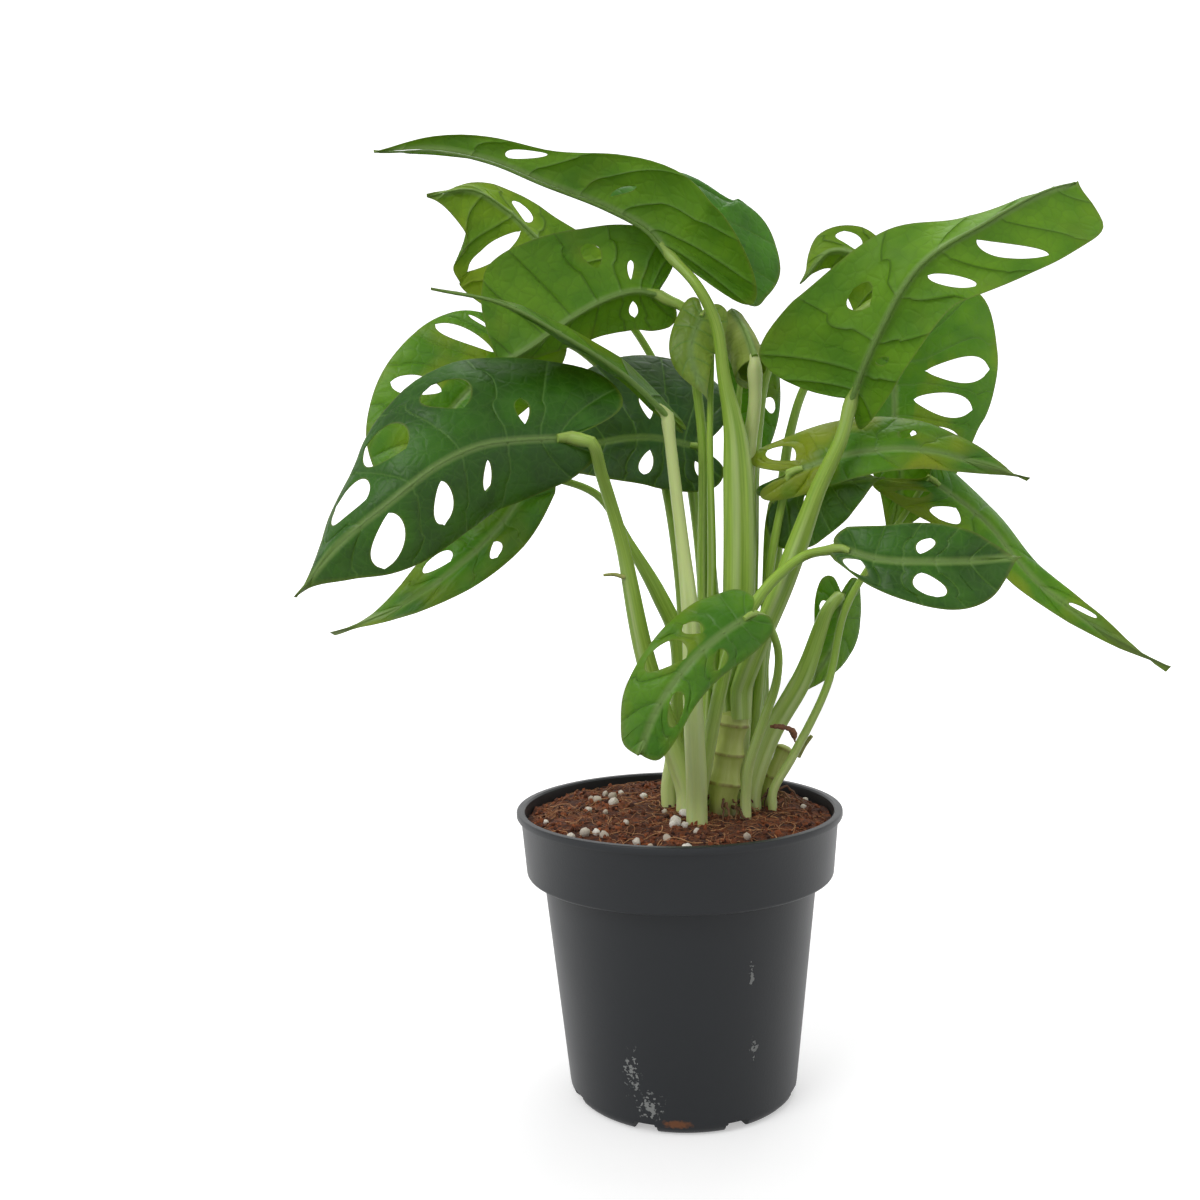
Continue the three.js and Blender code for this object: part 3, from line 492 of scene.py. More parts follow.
def blade_places(leaf, rail, side, vein, across):
    """Places on the middle surface, the way up there, and the same places laid flat."""
    half = 0 if side == "left" else 1
    margin_along, margin_out = leaf.get("shape", {}).get(side, (MARGIN_ALONG, MARGIN_OUT))
    margin = sample(margin_along, vein)
    margin = np.where(margin < 0, margin * leaf.get("lobe", EVEN)[half], margin)
    root = sample(VEIN_ROOT, vein)
    along = root + (margin - root) * across ** VEIN_SWEEP
    share = np.clip(along, 0, 1)
    direction = rail.direction(share)
    past = ((along - share) * rail.length)[..., None]
    origin = rail.point(share) + direction * past
    start = np.array(leaf[side], float)
    end = np.array(leaf.get("tips", {}).get(side, leaf[side]), float)
    wing = start + (end - start) * share[..., None]
    width = length_of(wing)
    wing = unit(wing - direction * dot(wing, direction))
    up = np.cross(wing, direction) if side == "right" else np.cross(direction, wing)
    reach = across * sample(margin_out, vein ** leaf.get("skew", EVEN)[half])
    reach = reach[..., None]
    bend = math.radians(leaf["bend"][half])
    out, down = np.sin(bend * reach) / bend, (1 - np.cos(bend * reach)) / bend
    ripple = np.sin(vein * RIPPLE_TURNS + RIPPLE_LAG * half)
    wave = leaf.get("wave", 0) * across ** 2 * ripple
    points = origin + wing * out * width + up * (wave[..., None] - down * width)
    sign = 1 if side == "right" else -1
    flat = np.stack([along * rail.length, sign * (reach * width)[..., 0]], -1)
    return points, up, flat


def blade_strip(leaf, rail, side, row):
    """One strip of a blade, with the numbers that its material reads."""
    holes = leaf.get("holes", ())
    across = np.linspace(0, 1, COLUMNS + 1)[None, :]
    step = STRIP_STEPS[:, None]
    low_gap = opening(holes, side, row, across)
    high_gap = opening(holes, side, row + 1, across)
    low = row / STRIPS + low_gap
    high = (row + 1) / STRIPS - high_gap
    vein = np.clip(low + (high - low) * step, 0, 1)
    across = np.broadcast_to(across, vein.shape)
    points, up, flat = blade_places(leaf, rail, side, vein, across)
    run = length_of(points[-1] - points[0])[:, 0][None, :]
    off_vein = np.abs(step - 0.5) * run
    off_rib = np.abs(flat[..., 1])
    off_edge = (1 - across) * np.maximum(off_rib[:, -1:], LEAST_WIDTH)
    off_edge = np.where(low_gap > 0, np.minimum(off_edge, step * run), off_edge)
    off_edge = np.where(high_gap > 0, np.minimum(off_edge, (1 - step) * run), off_edge)
    quilt = np.abs(np.cos(math.pi * step)) ** QUILT_ROUND
    quilt = quilt * ease(*QUILT_FROM_RIB, across) * ease(*QUILT_TO_EDGE, across)
    quilt = quilt * np.clip(run / QUILT_FULL_RUN, 0, 1) * QUILT_HEIGHT * leaf.get("quilt", 1)
    sink = MIDRIB_SINK * (1 - ease(0, MIDRIB_TROUGH, off_rib))
    points = points + up * (quilt - sink)[..., None]
    return points, up, flat, off_vein, off_rib, off_edge


def blade_sheet(leaf, rail, number):
    """The middle surface of a blade as one sheet, its strips joined except at the holes."""
    columns = dict(points=[], up=[], flat=[], off_vein=[], off_rib=[], off_edge=[])
    faces, start = [], 0
    for side in ("left", "right"):
        for row in range(STRIPS):
            strip = blade_strip(leaf, rail, side, row)
            index = start + np.arange(strip[3].size).reshape(strip[3].shape)
            start += index.size
            quads = grid_faces(index)
            faces.append(quads if side == "right" else quads[:, ::-1])
            for key, numbers in zip(columns, strip):
                columns[key].append(numbers.reshape(index.size, -1))
    stacked = {key: np.vstack(parts) for key, parts in columns.items()}
    places = np.round(stacked["points"], POINT_DECIMALS)
    _, first, back = np.unique(places, axis=0, return_index=True, return_inverse=True)
    sheet = {key: numbers[first] for key, numbers in stacked.items()}
    faces = back.reshape(-1)[np.vstack(faces)]
    sheet["flat"] = np.column_stack([sheet["flat"] * MM, np.full(len(first), float(number))])
    return sheet, [tidy_face(face) for face in faces.tolist() if len(set(face)) > 2]


def tidy_face(face):
    """A face without its repeated corners."""
    return [corner for n, corner in enumerate(face) if corner != face[n - 1]]


def sheet_normals(points, faces):
    triangles = np.array([(f[0], f[i], f[i + 1]) for f in faces for i in range(1, len(f) - 1)])
    a, b, c = (points[triangles[:, i]] for i in range(3))
    square = np.cross(b - a, c - a)
    normals = np.zeros_like(points)
    for i in range(3):
        np.add.at(normals, triangles[:, i], square)
    return unit(normals)


def open_edges(faces):
    """The directed edges that belong to one face only."""
    edges = {(f[i - 1], f[i]) for f in faces for i in range(len(f))}
    return [edge for edge in edges if edge[::-1] not in edges]


def blade_body(leaf, rail, number):
    """A thin closed body: the sheet's two faces and the rim round its margin and holes."""
    sheet, faces = blade_sheet(leaf, rail, number)
    normals = sheet_normals(sheet["points"], faces)
    off_vein, off_edge = sheet["off_vein"][:, 0], sheet["off_edge"][:, 0]
    ridge = VEIN_HEIGHT * (1 - ease(0, VEIN_REACH, off_vein)) * ease(0, VEIN_END, off_edge)
    ridge = ridge * leaf.get("quilt", 1)
    body_share = EDGE_THICKNESS + (1 - EDGE_THICKNESS) * ease(0, EDGE_REACH, off_edge)
    half = BLADE_THICKNESS / 2 * body_share
    upper = sheet["points"] + normals * (half - ridge)[:, None]
    lower = sheet["points"] - normals * (half + VEIN_BELOW * ridge)[:, None]
    count = len(upper)
    body = [tuple(face) for face in faces]
    body += [tuple(count + i for i in reversed(face)) for face in faces]
    rim = sorted(open_edges(faces))
    body += [(b, a, count + a, count + b) for a, b in rim]
    twice = lambda key: np.tile(sheet[key][:, 0], 2)
    return shell(
        np.vstack([upper, lower]), body,
        flat_place=np.tile(sheet["flat"], (2, 1)),
        off_vein=twice("off_vein"), off_rib=twice("off_rib"), off_edge=twice("off_edge"),
        underside=np.repeat([0.0, 1.0], count),
    )


# ---- round stems: midribs, petioles and canes -----------------------------------------------
def tube(centres, sides, tops, radii, section=None, round_steps=16):
    """Rings of points round a path, closed at both ends. section scales each ring's radius
    by the angle round it. Returns the points, the faces and the angle of each point."""
    angles = np.arange(round_steps) * 2 * math.pi / round_steps
    radii = np.broadcast_to(np.asarray(radii, float)[:, None], (len(centres), round_steps))
    if section is not None:
        radii = radii * section
    across, up = np.cos(angles)[None, :, None], np.sin(angles)[None, :, None]
    way = across * sides[:, None] + up * tops[:, None]
    rings = centres[:, None] + way * radii[..., None]
    points = np.vstack([rings.reshape(-1, 3), centres[:1], centres[-1:]])
    index = np.arange(rings.shape[0] * round_steps).reshape(-1, round_steps)
    index = np.hstack([index, index[:, :1]])
    faces = [tuple(face) for face in grid_faces(index)[:, ::-1]]
    first, last = len(points) - 2, len(points) - 1
    faces += [(first, index[0, i + 1], index[0, i]) for i in range(round_steps)]
    faces += [(last, index[-1, i], index[-1, i + 1]) for i in range(round_steps)]
    around = np.append(np.tile(angles, len(centres)), [0, 0])
    return points, faces, around


MIDRIB_STEPS = 60
MIDRIB_ROUND = 10
MIDRIB_END = 0.985  # as a share of the blade's length
MIDRIB_BASE = 0.55  # its radius at the base, as a share of the stalk's
MIDRIB_TIP = 0.22
MIDRIB_TAPER = 0.8  # below 1, it keeps its thickness further out
MIDRIB_PINCH = (0.94, 1, 0.6)  # where its last stretch starts and ends, and how far it shrinks
MIDRIB_DROP = 0.62  # how far it hangs below the blade, in radii
FAR_OFF = 50.0  # farther from any vein or margin than a material looks


def midrib_body(leaf, rail, number):
    """The rounded midrib, which stands out below the blade and thins to its tip."""
    share = np.linspace(0, MIDRIB_END, MIDRIB_STEPS)
    centres = rail.point(share)
    directions = rail.direction(share)
    left, right = (np.array(leaf[side], float) for side in ("left", "right"))
    up = unit(np.cross(right, directions)) + unit(np.cross(directions, left))
    up = unit(up - directions * dot(up, directions))
    base = MIDRIB_BASE * leaf["radii"][0]
    radii = MIDRIB_TIP + (base - MIDRIB_TIP) * (1 - share) ** MIDRIB_TAPER
    pinch_start, pinch_end, pinch = MIDRIB_PINCH
    radii *= 1 - pinch * ease(pinch_start, pinch_end, share)
    centres = centres - up * (MIDRIB_SINK + MIDRIB_DROP * radii)[:, None]
    sides = np.cross(up, directions)
    points, faces, around = tube(centres, sides, up, radii, round_steps=MIDRIB_ROUND)
    count = len(points)
    along = np.append(np.repeat(share * rail.length * MM, MIDRIB_ROUND), [0, rail.length * MM])
    flat = np.column_stack([along, around * MM, np.full(count, float(number))])
    far = np.full(count, FAR_OFF)
    return shell(points, faces, flat_place=flat, off_vein=far, off_rib=np.zeros(count),
                 off_edge=far, underside=np.full(count, 0.5))


BLADE_TO_STALK = 4
FOOT_RISE = 7
FOOT_SUNK = 3
STALK_ROUND = 24
STALK_STEP = 2.5
STALK_START = (0.06, 5)  # how far along the rib it starts: a share, or this many mm if less
STALK_FACES = (1, 0.35, 0.1)  # where the side of a stalk's sheath points
STALK_TOP = 0.7  # its radius inside the blade, as a share of its own
STALK_TOP_RUN = 6
KNEE_LENGTH = 13
KNEE_SWELL = 0.22
SHEATH_GROWS = (0.3, 0.5)  # from the blade, as shares of the stalk
CHANNEL_ANGLE = math.pi / 2
CHANNEL_WIDTH = 0.42  # in radians, as are the next two
EDGE_ANGLE = 0.62  # from the channel's middle to either raised edge
EDGE_WIDTH = 0.2
EDGE_COLOUR_REACH = (0.05, 0.3)
SHEATH_SWELL = dict(edges=0.14, channel=-0.06, flank=0.26, whole=-0.08)


def stalk_rail(leaf):
    """From inside the blade's base down to below the mix, or down into the cane."""
    rib = Rail(leaf["rib"])
    base = np.array(leaf["rib"][0], float)
    first = np.array(leaf["stalk"][0], float)
    beside = base + unit(first - base) * BLADE_TO_STALK
    start_share, start_length = STALK_START
    inside = rib.point(min(start_share, start_length / rib.length))
    foot = np.array(leaf["foot"], float)
    path = [inside, base, beside, *leaf["stalk"]]
    path += [foot + (0, 0, FOOT_RISE), foot, foot - (0, 0, FOOT_SUNK)]
    return Rail(path)


def stalk_section(share, angles):
    """The outline of a petiole: round at the top, and below it a channel between the two
    raised edges of its sheath."""
    grown = ease(*SHEATH_GROWS, share)[:, None]
    off_channel = angles - CHANNEL_ANGLE
    edges = sum(np.exp(-((off_channel - at) / EDGE_WIDTH) ** 2) for at in (-EDGE_ANGLE, EDGE_ANGLE))
    channel = np.exp(-(off_channel / CHANNEL_WIDTH) ** 2)
    flank = np.abs(np.cos(angles))
    swell = SHEATH_SWELL["edges"] * edges + SHEATH_SWELL["channel"] * channel
    return 1 + grown * (swell + SHEATH_SWELL["flank"] * flank + SHEATH_SWELL["whole"])


def stalk_body(leaf):
    rail = stalk_rail(leaf)
    share = np.linspace(0, 1, int(rail.length / STALK_STEP))
    sides, tops = turned_frames(rail.direction(share), STALK_FACES)
    angles = np.arange(STALK_ROUND) * 2 * math.pi / STALK_ROUND
    from_blade = share * rail.length
    off_knee = (from_blade - KNEE_LENGTH / 2) / (KNEE_LENGTH / 3)
    radii = sample(leaf["radii"], share) * (1 + KNEE_SWELL * np.exp(-off_knee ** 2))
    radii = radii * (STALK_TOP + (1 - STALK_TOP) * ease(0, STALK_TOP_RUN, from_blade))
    section = stalk_section(share, angles[None, :])
    points, faces, around = tube(rail.point(share), sides, tops, radii, section, STALK_ROUND)
    along = np.append(np.repeat(from_blade, STALK_ROUND), [0, rail.length])
    share = np.append(np.repeat(share, STALK_ROUND), [0, 1])
    off_edge = np.abs(np.abs(around - CHANNEL_ANGLE) - EDGE_ANGLE)
    edge = (1 - ease(*EDGE_COLOUR_REACH, off_edge)) * ease(*SHEATH_GROWS, share)
    paleness = np.full(len(points), float(leaf.get("pale", 0)))
    return shell(points, faces, around=around, along=along * MM, sheath_edge=edge,
                 foot=points[:, 2], pale=paleness)


# ---- pot ----------------------------------------------------------------------------------
POT_ROUND = 192
SKIRT_RADIUS = RIM_RADIUS - SKIRT_TAPER
SKIRT_TOP_RADIUS = RIM_RADIUS - LIP_OVERHANG
BODY_TOP_RADIUS = SKIRT_RADIUS - SHOULDER
SKIRT_FOOT = POT_HEIGHT - SKIRT_HEIGHT
LIP_ROUND = 0.6
SHOULDER_ROUND = 1.2
FOOT_HOLLOW = 0.4  # how far the middle of the underside is raised
FOOT_HOLLOW_EDGE = 3 * BASE_CORNER  # in from the base's radius
FOOT_RING_EDGE = 2.5 * BASE_CORNER
DRAIN_CUT_DEPTH = 18
DRAIN_CORNER = 0.8
POT_SHARP_ANGLE = math.radians(35)


def body_radius(z):
    return BASE_RADIUS + (BODY_TOP_RADIUS - BASE_RADIUS) * z / SKIRT_FOOT


def arc(centre, radius, start, end, steps=6):
    """Points on a round corner of a profile, between two angles in degrees."""
    angles = np.radians(np.linspace(start, end, steps))
    return [(centre[0] + radius * math.cos(a), centre[1] + radius * math.sin(a)) for a in angles]


def pot_profile():
    """The wall's section from the middle of its underside, up its outside and down inside."""
    lip_foot = POT_HEIGHT - LIP_DEPTH
    corner = (body_radius(BASE_CORNER) - BASE_CORNER, BASE_CORNER)
    skirt_corner = (SKIRT_RADIUS - SHOULDER_ROUND, SKIRT_FOOT)
    shoulder = (body_radius(SKIRT_FOOT) + SHOULDER_ROUND, SKIRT_FOOT - 2 * SHOULDER_ROUND)
    outer_lip = (RIM_RADIUS - LIP_ROUND, POT_HEIGHT - LIP_ROUND)
    return [
        (0, FOOT_HOLLOW),
        (BASE_RADIUS - FOOT_HOLLOW_EDGE, FOOT_HOLLOW),
        (BASE_RADIUS - FOOT_RING_EDGE, 0),
        *arc(corner, BASE_CORNER, -90, 0),
        *arc(shoulder, SHOULDER_ROUND, 180, 90, 4),
        *arc(skirt_corner, SHOULDER_ROUND, -90, 0, 5),
        (SKIRT_TOP_RADIUS, lip_foot - LIP_ROUND),
        (SKIRT_TOP_RADIUS + LIP_ROUND / 2, lip_foot - LIP_ROUND / 3),
        (RIM_RADIUS - LIP_ROUND / 2, lip_foot),
        (RIM_RADIUS, lip_foot + LIP_ROUND),
        *arc(outer_lip, LIP_ROUND, 0, 90),
        (SKIRT_TOP_RADIUS - WALL + LIP_ROUND, POT_HEIGHT),
        (SKIRT_TOP_RADIUS - WALL, POT_HEIGHT - LIP_ROUND),
        (SKIRT_RADIUS - WALL, SKIRT_FOOT + WALL),
        (body_radius(SKIRT_FOOT) - WALL, SKIRT_FOOT),
        (body_radius(BASE_CORNER) - WALL, BASE_CORNER),
        (BASE_RADIUS - BASE_CORNER, BASE_PLATE),
        (0, BASE_PLATE),
    ]


def turned_body(profile, steps):
    """A closed body turned from a profile that starts and ends on the axis."""
    angles = np.arange(steps) * 2 * math.pi / steps
    ring = np.stack([np.cos(angles), np.sin(angles)], -1)
    rings = [np.column_stack([ring * r, np.full(steps, z)]) for r, z in profile[1:-1]]
    points = np.vstack(rings + [[(0, 0, profile[0][1])], [(0, 0, profile[-1][1])]])
    index = np.arange(len(rings) * steps).reshape(-1, steps)
    index = np.hstack([index, index[:, :1]])
    faces = [tuple(face) for face in grid_faces(index)]
    foot, top = len(points) - 2, len(points) - 1
    faces += [(foot, index[0, i + 1], index[0, i]) for i in range(steps)]
    faces += [(top, index[-1, i], index[-1, i + 1]) for i in range(steps)]
    return shell(points, faces)


def cut_drains(piece):
    """Cuts the drain slots through the foot of the wall."""
    cutter = bmesh.new()
    for i in range(DRAIN_COUNT):
        turn = Matrix.Rotation((i + 0.5) * 2 * math.pi / DRAIN_COUNT, 4, "Z")
        size = Matrix.Diagonal((DRAIN_WIDTH * MM, DRAIN_CUT_DEPTH * MM, 2 * DRAIN_HEIGHT * MM, 1))
        place = Matrix.Translation((0, BASE_RADIUS * MM, 0))
        bmesh.ops.create_cube(cutter, size=1, matrix=turn @ place @ size)
    corner = DRAIN_CORNER * MM
    bmesh.ops.bevel(cutter, geom=cutter.edges, offset=corner, segments=3, affect="EDGES")
    mesh = bpy.data.meshes.new("drain_cutter")
    cutter.to_mesh(mesh)
    cutter.free()
    tool = bpy.data.objects.new("drain_cutter", mesh)
    bpy.context.scene.collection.objects.link(tool)
    cut = piece.modifiers.new("drains", "BOOLEAN")
    cut.object = tool
    cut.solver = "EXACT"
    settled = piece.evaluated_get(bpy.context.evaluated_depsgraph_get())
    piece.data = bpy.data.meshes.new_from_object(settled)
    piece.modifiers.clear()
    piece.data.set_sharp_from_angle(angle=POT_SHARP_ANGLE)
    bpy.data.objects.remove(tool)


# ---- potting mix --------------------------------------------------------------------------
MIX_ROUND = 220
MIX_RINGS = 84
MIX_RADIUS = SKIRT_TOP_RADIUS - WALL - 0.7
MIX_FOOT = BASE_CORNER + 0.3
MIX_CLEARANCE = 0.5  # inside the pot's wall
LUMP_HEIGHT = 1.3
LUMPS = ((11, 1), (4.5, 0.6), (1.7, 0.45), (0.8, 0.25))  # heaps to crumbs: size, share of height
MIX_FALL_END = 1.02  # where the fall to the wall ends, as a share of the mix's radius
LUMP_RISE = 0.2  # how far a loose lump's middle lies above the mix, as a share of its size
LUMP_FORM = 1.6  # how many times finer than the lump its knobs are
PERLITE_CORNER = (5, 20)  # most of the perlite has gathered left of and in front of this
PERLITE_ELSEWHERE = 0.35  # how likely a pebble is elsewhere


def mix_height(x, y):
    """The lumpy surface: coarse heaps, finer crumbs, and a fall to the wall."""
    at = Vector((x, y, 0))
    lumps = sum(share * noise.noise(at / size) for size, share in LUMPS)
    fall = ease(MIX_FLAT_SHARE, MIX_FALL_END, math.hypot(x, y) / MIX_RADIUS)
    return MIX_TOP + LUMP_HEIGHT * lumps - MIX_EDGE_DROP * float(fall)


def mix_body():
    surface = [(r, MIX_TOP) for r in MIX_RADIUS * np.linspace(0, 1, MIX_RINGS + 1)]
    inset = WALL + MIX_CLEARANCE
    under = [
        (SKIRT_RADIUS - inset, SKIRT_FOOT + 2),
        (body_radius(SKIRT_FOOT) - inset, SKIRT_FOOT),
        (body_radius(MIX_FOOT) - inset, MIX_FOOT),
        (0, MIX_FOOT),
    ]
    part = turned_body(surface + under, MIX_ROUND)
    part["faces"] = [tuple(reversed(face)) for face in part["faces"]]
    for i in [*range(MIX_RINGS * MIX_ROUND), len(part["points"]) - 2]:
        x, y, _ = part["points"][i]
        part["points"][i][2] = mix_height(x, y)
    return part


def lump_shape(detail):
    ball = bmesh.new()
    bmesh.ops.create_icosphere(ball, subdivisions=detail, radius=1)
    points = np.array([v.co[:] for v in ball.verts])
    faces = [tuple(v.index for v in f.verts) for f in ball.faces]
    ball.free()
    return points, faces


def random_turn(rng):
    axis = unit(rng.normal(size=3))
    return np.array(Matrix.Rotation(rng.uniform(0, 2 * math.pi), 3, Vector(axis)))


def perlite_likely(x, y):
    right, back = PERLITE_CORNER
    return 1 if x < right and y < back else PERLITE_ELSEWHERE


def scattered_place(rng, radius=MIX_RADIUS - 2):
    angle, out = rng.uniform(0, 2 * math.pi), radius * math.sqrt(rng.uniform(0, 1))
    return out * math.cos(angle), out * math.sin(angle)


def scattered_lumps(rng, count, detail, size_range, knobbly, squash, likely=None):
    """Irregular crumbs or pebbles that lie half sunk in the mix."""
    unit_points, unit_faces = lump_shape(detail)
    lumps = []
    while len(lumps) < count:
        x, y = scattered_place(rng)
        if likely and rng.uniform() > likely(x, y):
            continue
        size = rng.uniform(*size_range)
        seed = Vector(rng.uniform(0, 100, 3))
        swell = [1 + knobbly * noise.noise(Vector(p) * LUMP_FORM + seed) for p in unit_points]
        points = unit_points * np.array(swell)[:, None] * rng.uniform(squash, 1, 3)
        points = points @ random_turn(rng).T * size / 2
        centre = (x, y, mix_height(x, y) + LUMP_RISE * size)
        tint = np.full(len(points), rng.uniform())
        lumps.append(shell(points + centre, unit_faces, tint=tint))
    return joined(lumps)


def strand(rail, share, radii, towards, tint, round_steps=16, wander=0):
    """A round strand along a rail, with a tint of its own."""
    sides, tops = turned_frames(rail.direction(share), towards)
    centres = rail.point(share) + wander
    points, faces, _ = tube(centres, sides, tops, radii, round_steps=round_steps)
    return shell(points, faces, tint=np.full(len(points), tint))


COIR_POINTS = 9
COIR_LEAST_POINTS = 4
COIR_STEPS = 12
COIR_STRIDE = (0.7, 2.6)  # between a strand's points
COIR_CURL = 0.25  # how much a strand turns at each point, in radians
COIR_WANDER = 0.3  # and how unevenly
COIR_LIFT = (0.1, 1.1)
COIR_RADIUS = (0.1, 0.24)
COIR_TAPER = 0.6


def coir_fibres(rng, count):
    """Fine curled strands that lie over the surface."""
    strands = []
    for _ in range(count):
        x, y = scattered_place(rng)
        heading = rng.uniform(0, 2 * math.pi)
        step = rng.uniform(*COIR_STRIDE)
        curl = rng.normal(0, COIR_CURL)
        lift = rng.uniform(*COIR_LIFT)
        path = []
        for n in range(COIR_POINTS):
            arch = lift * math.sin(math.pi * n / (COIR_POINTS - 1))
            path.append((x, y, mix_height(x, y) + arch))
            heading += curl + rng.normal(0, COIR_WANDER)
            x += step * math.cos(heading)
            y += step * math.sin(heading)
            if math.hypot(x, y) > MIX_RADIUS - 1:
                break
        if len(path) < COIR_LEAST_POINTS:
            continue
        share = np.linspace(0, 1, COIR_STEPS)
        radii = rng.uniform(*COIR_RADIUS) * (1 - COIR_TAPER * share)
        strands.append(strand(Rail(path), share, radii, (0.1, 0.2, 1), rng.uniform(), 5))
    return joined(strands)


# ---- canes, roots and the dried sheath ------------------------------------------------------
CANE_ROUND = 32
NODE_SPACING = 11.0
NODE_WIDTH = 0.8
NODE_SWELL = 0.5
NODE_WAIST = 0.06  # how far a cane narrows between its nodes, as a share of its radius
CANE_STEP = 0.6
CANE_END = (0.97, 1, 0.5)  # where its cut end starts and stops, and how far it shrinks


def cane_body(cane):
    """A short thick stem with a raised, scarred ring at each node."""
    path = [np.array(p, float) for p in cane["path"]]
    rail = Rail([path[0] - (0, 0, FOOT_SUNK)] + path)
    share = np.linspace(0, 1, int(rail.length / CANE_STEP))
    from_foot = share * rail.length
    from_node = from_foot + NODE_SPACING / 4
    ring = np.exp(-(np.abs(from_node % NODE_SPACING - NODE_SPACING / 2) / NODE_WIDTH) ** 2)
    waist = NODE_WAIST * np.cos(2 * math.pi * from_node / NODE_SPACING)
    radii = sample(cane["radii"], share) * (1 - waist) + NODE_SWELL * ring
    start, end, shrink = CANE_END
    radii *= 1 - shrink * ease(start, end, share)
    sides, tops = turned_frames(rail.direction(share), (0, -1, 0.1))
    points, faces, around = tube(rail.point(share), sides, tops, radii, round_steps=CANE_ROUND)
    rings = [
        np.append(np.repeat(numbers, CANE_ROUND), [numbers[0], numbers[-1]])
        for numbers in (from_foot, ring)
    ]
    return shell(points, faces, around=around, along=rings[0] * MM, ring=rings[1])


DRIED_SHEATH = [(31.5, -22, 33.5), (35, -23, 33.5), (39, -23, 32), (40, -23, 28)]
SHEATH_HALF_WIDTH = 1.7
SHEATH_STEPS = 40
SHEATH_CRUMPLES = 12  # from one end to the other
CRUMPLE_DEPTH = 0.5  # as a share of the half-width
SHEATH_BUTT = 0.4  # how wide it starts, and it is full after the first sixth
SHEATH_TIP = (0.8, 1, 0.7)  # where its tip starts and ends, and how far it shrinks
SHEATH_THINNESS = 0.3  # a dried strip's thickness over its width
GUTTER_DEPTH = 0.14
GUTTER_WIDTH = 0.5  # in radians
SHEATH_TINT = 0.7


def dried_sheath_body():
    """A dead leaf sheath: a dry strip that has curled lengthwise into a ragged gutter."""
    rail = Rail(DRIED_SHEATH)
    share = np.linspace(0, 1, SHEATH_STEPS)
    sides, tops = turned_frames(rail.direction(share), (0, 0.2, 1))
    crumple = np.array([noise.noise(Vector((SHEATH_CRUMPLES * s, 1.7, 0))) for s in share])
    widening = np.clip(4 * share + SHEATH_BUTT, 0, 1)
    start, end, shrink = SHEATH_TIP
    narrowing = 1 - shrink * ease(start, end, share)
    radii = SHEATH_HALF_WIDTH * (1 + CRUMPLE_DEPTH * crumple) * widening * narrowing
    angles = np.arange(STALK_ROUND) * 2 * math.pi / STALK_ROUND
    strip = SHEATH_THINNESS + (1 - SHEATH_THINNESS) * np.abs(np.sin(angles))
    gutter = strip - GUTTER_DEPTH * np.exp(-((angles - math.pi) / GUTTER_WIDTH) ** 2)
    section = gutter[None, :]
    points, faces, _ = tube(rail.point(share), sides, tops, radii, section, STALK_ROUND)
    return shell(points, faces, tint=np.full(len(points), SHEATH_TINT))


# Stumps of old stalks: where each starts, where it ends, and its radius.
STUBS = [
    ((-18.5, -19, 87), (-26, -20, 88), 0.7),
    ((-4, -9, 44), (-8.5, -13, 50), 0.9),
    ((45, 2, 18), (50, 0, 26), 1.0),
]
STUB_STEPS = 14
STUB_ARCH = 0.6
STUB_SWELL = 1.2  # at its start, as a share of its radius
STUB_TAPER = 0.5
STUB_TINT = 0.9


def stub_bodies():
    stubs = []
    for start, end, radius in STUBS:
        start, end = np.array(start, float), np.array(end, float)
        rail = Rail([start, (start + end) / 2 + (0, 0, STUB_ARCH), end])
        share = np.linspace(0, 1, STUB_STEPS)
        radii = radius * (STUB_SWELL - STUB_TAPER * share)
        stubs.append(strand(rail, share, radii, (0, 0, 1), STUB_TINT))
    return joined(stubs)


ROOT_COUNT = 26
ROOT_STEPS = 24
ROOT_HEADING = (-0.7, 0.7)  # half-turns from +X: towards the open side of the bundle
ROOT_REACH = (5, 13)
ROOT_START = (1, 6)  # above the mix
ROOT_KNEE = (-0.5, 1.5)
ROOT_KNEE_SHARE = 0.45  # how far out the knee is, as a share of the reach
ROOT_SIDEWAYS = (-4, 4)
ROOT_SAG_SHARE = 0.6  # how much of its way sideways is done where it sags
ROOT_BED = -1.5  # a root ends this far below the mix's surface
ROOT_RADIUS = (0.3, 0.75)
ROOT_WANDER = 0.8
ROOT_BENDS = 6  # from one end to the other
ROOT_TAPER = 0.5
ROOT_DIP = 0.8  # how far its last stretch sags
ROOT_ROUND = 8


def root_bodies(rng):
    """Brown roots that spring from the canes' feet and dive into the mix close by."""
    roots = []
    for n in range(ROOT_COUNT):
        cane = CANES[0] if n % 3 else CANES[1]
        centre = np.array(cane["path"][0], float)
        heading = rng.uniform(*ROOT_HEADING) * math.pi
        out = np.array([math.cos(heading), math.sin(heading), 0])
        reach = rng.uniform(*ROOT_REACH)
        start = centre + out * (cane["radii"][0] - 1) + (0, 0, rng.uniform(*ROOT_START))
        knee = start + out * reach * ROOT_KNEE_SHARE + (0, 0, rng.uniform(*ROOT_KNEE))
        end = centre + out * (cane["radii"][0] + reach) + (0, 0, ROOT_BED)
        side = np.array([-out[1], out[0], 0]) * rng.uniform(*ROOT_SIDEWAYS)
        sag = (knee + end) / 2 + side * ROOT_SAG_SHARE - (0, 0, ROOT_DIP)
        share = np.linspace(0, 1, ROOT_STEPS)
        wander = [[ROOT_WANDER * noise.noise(Vector((ROOT_BENDS * s, n, 3)))] for s in share]
        radii = rng.uniform(*ROOT_RADIUS) * (1 - ROOT_TAPER * share)
        rail = Rail([start, knee, sag, end + side])
        roots.append(strand(rail, share, radii, (0, 0.1, 1), rng.uniform(), ROOT_ROUND, wander))
    return joined(roots)


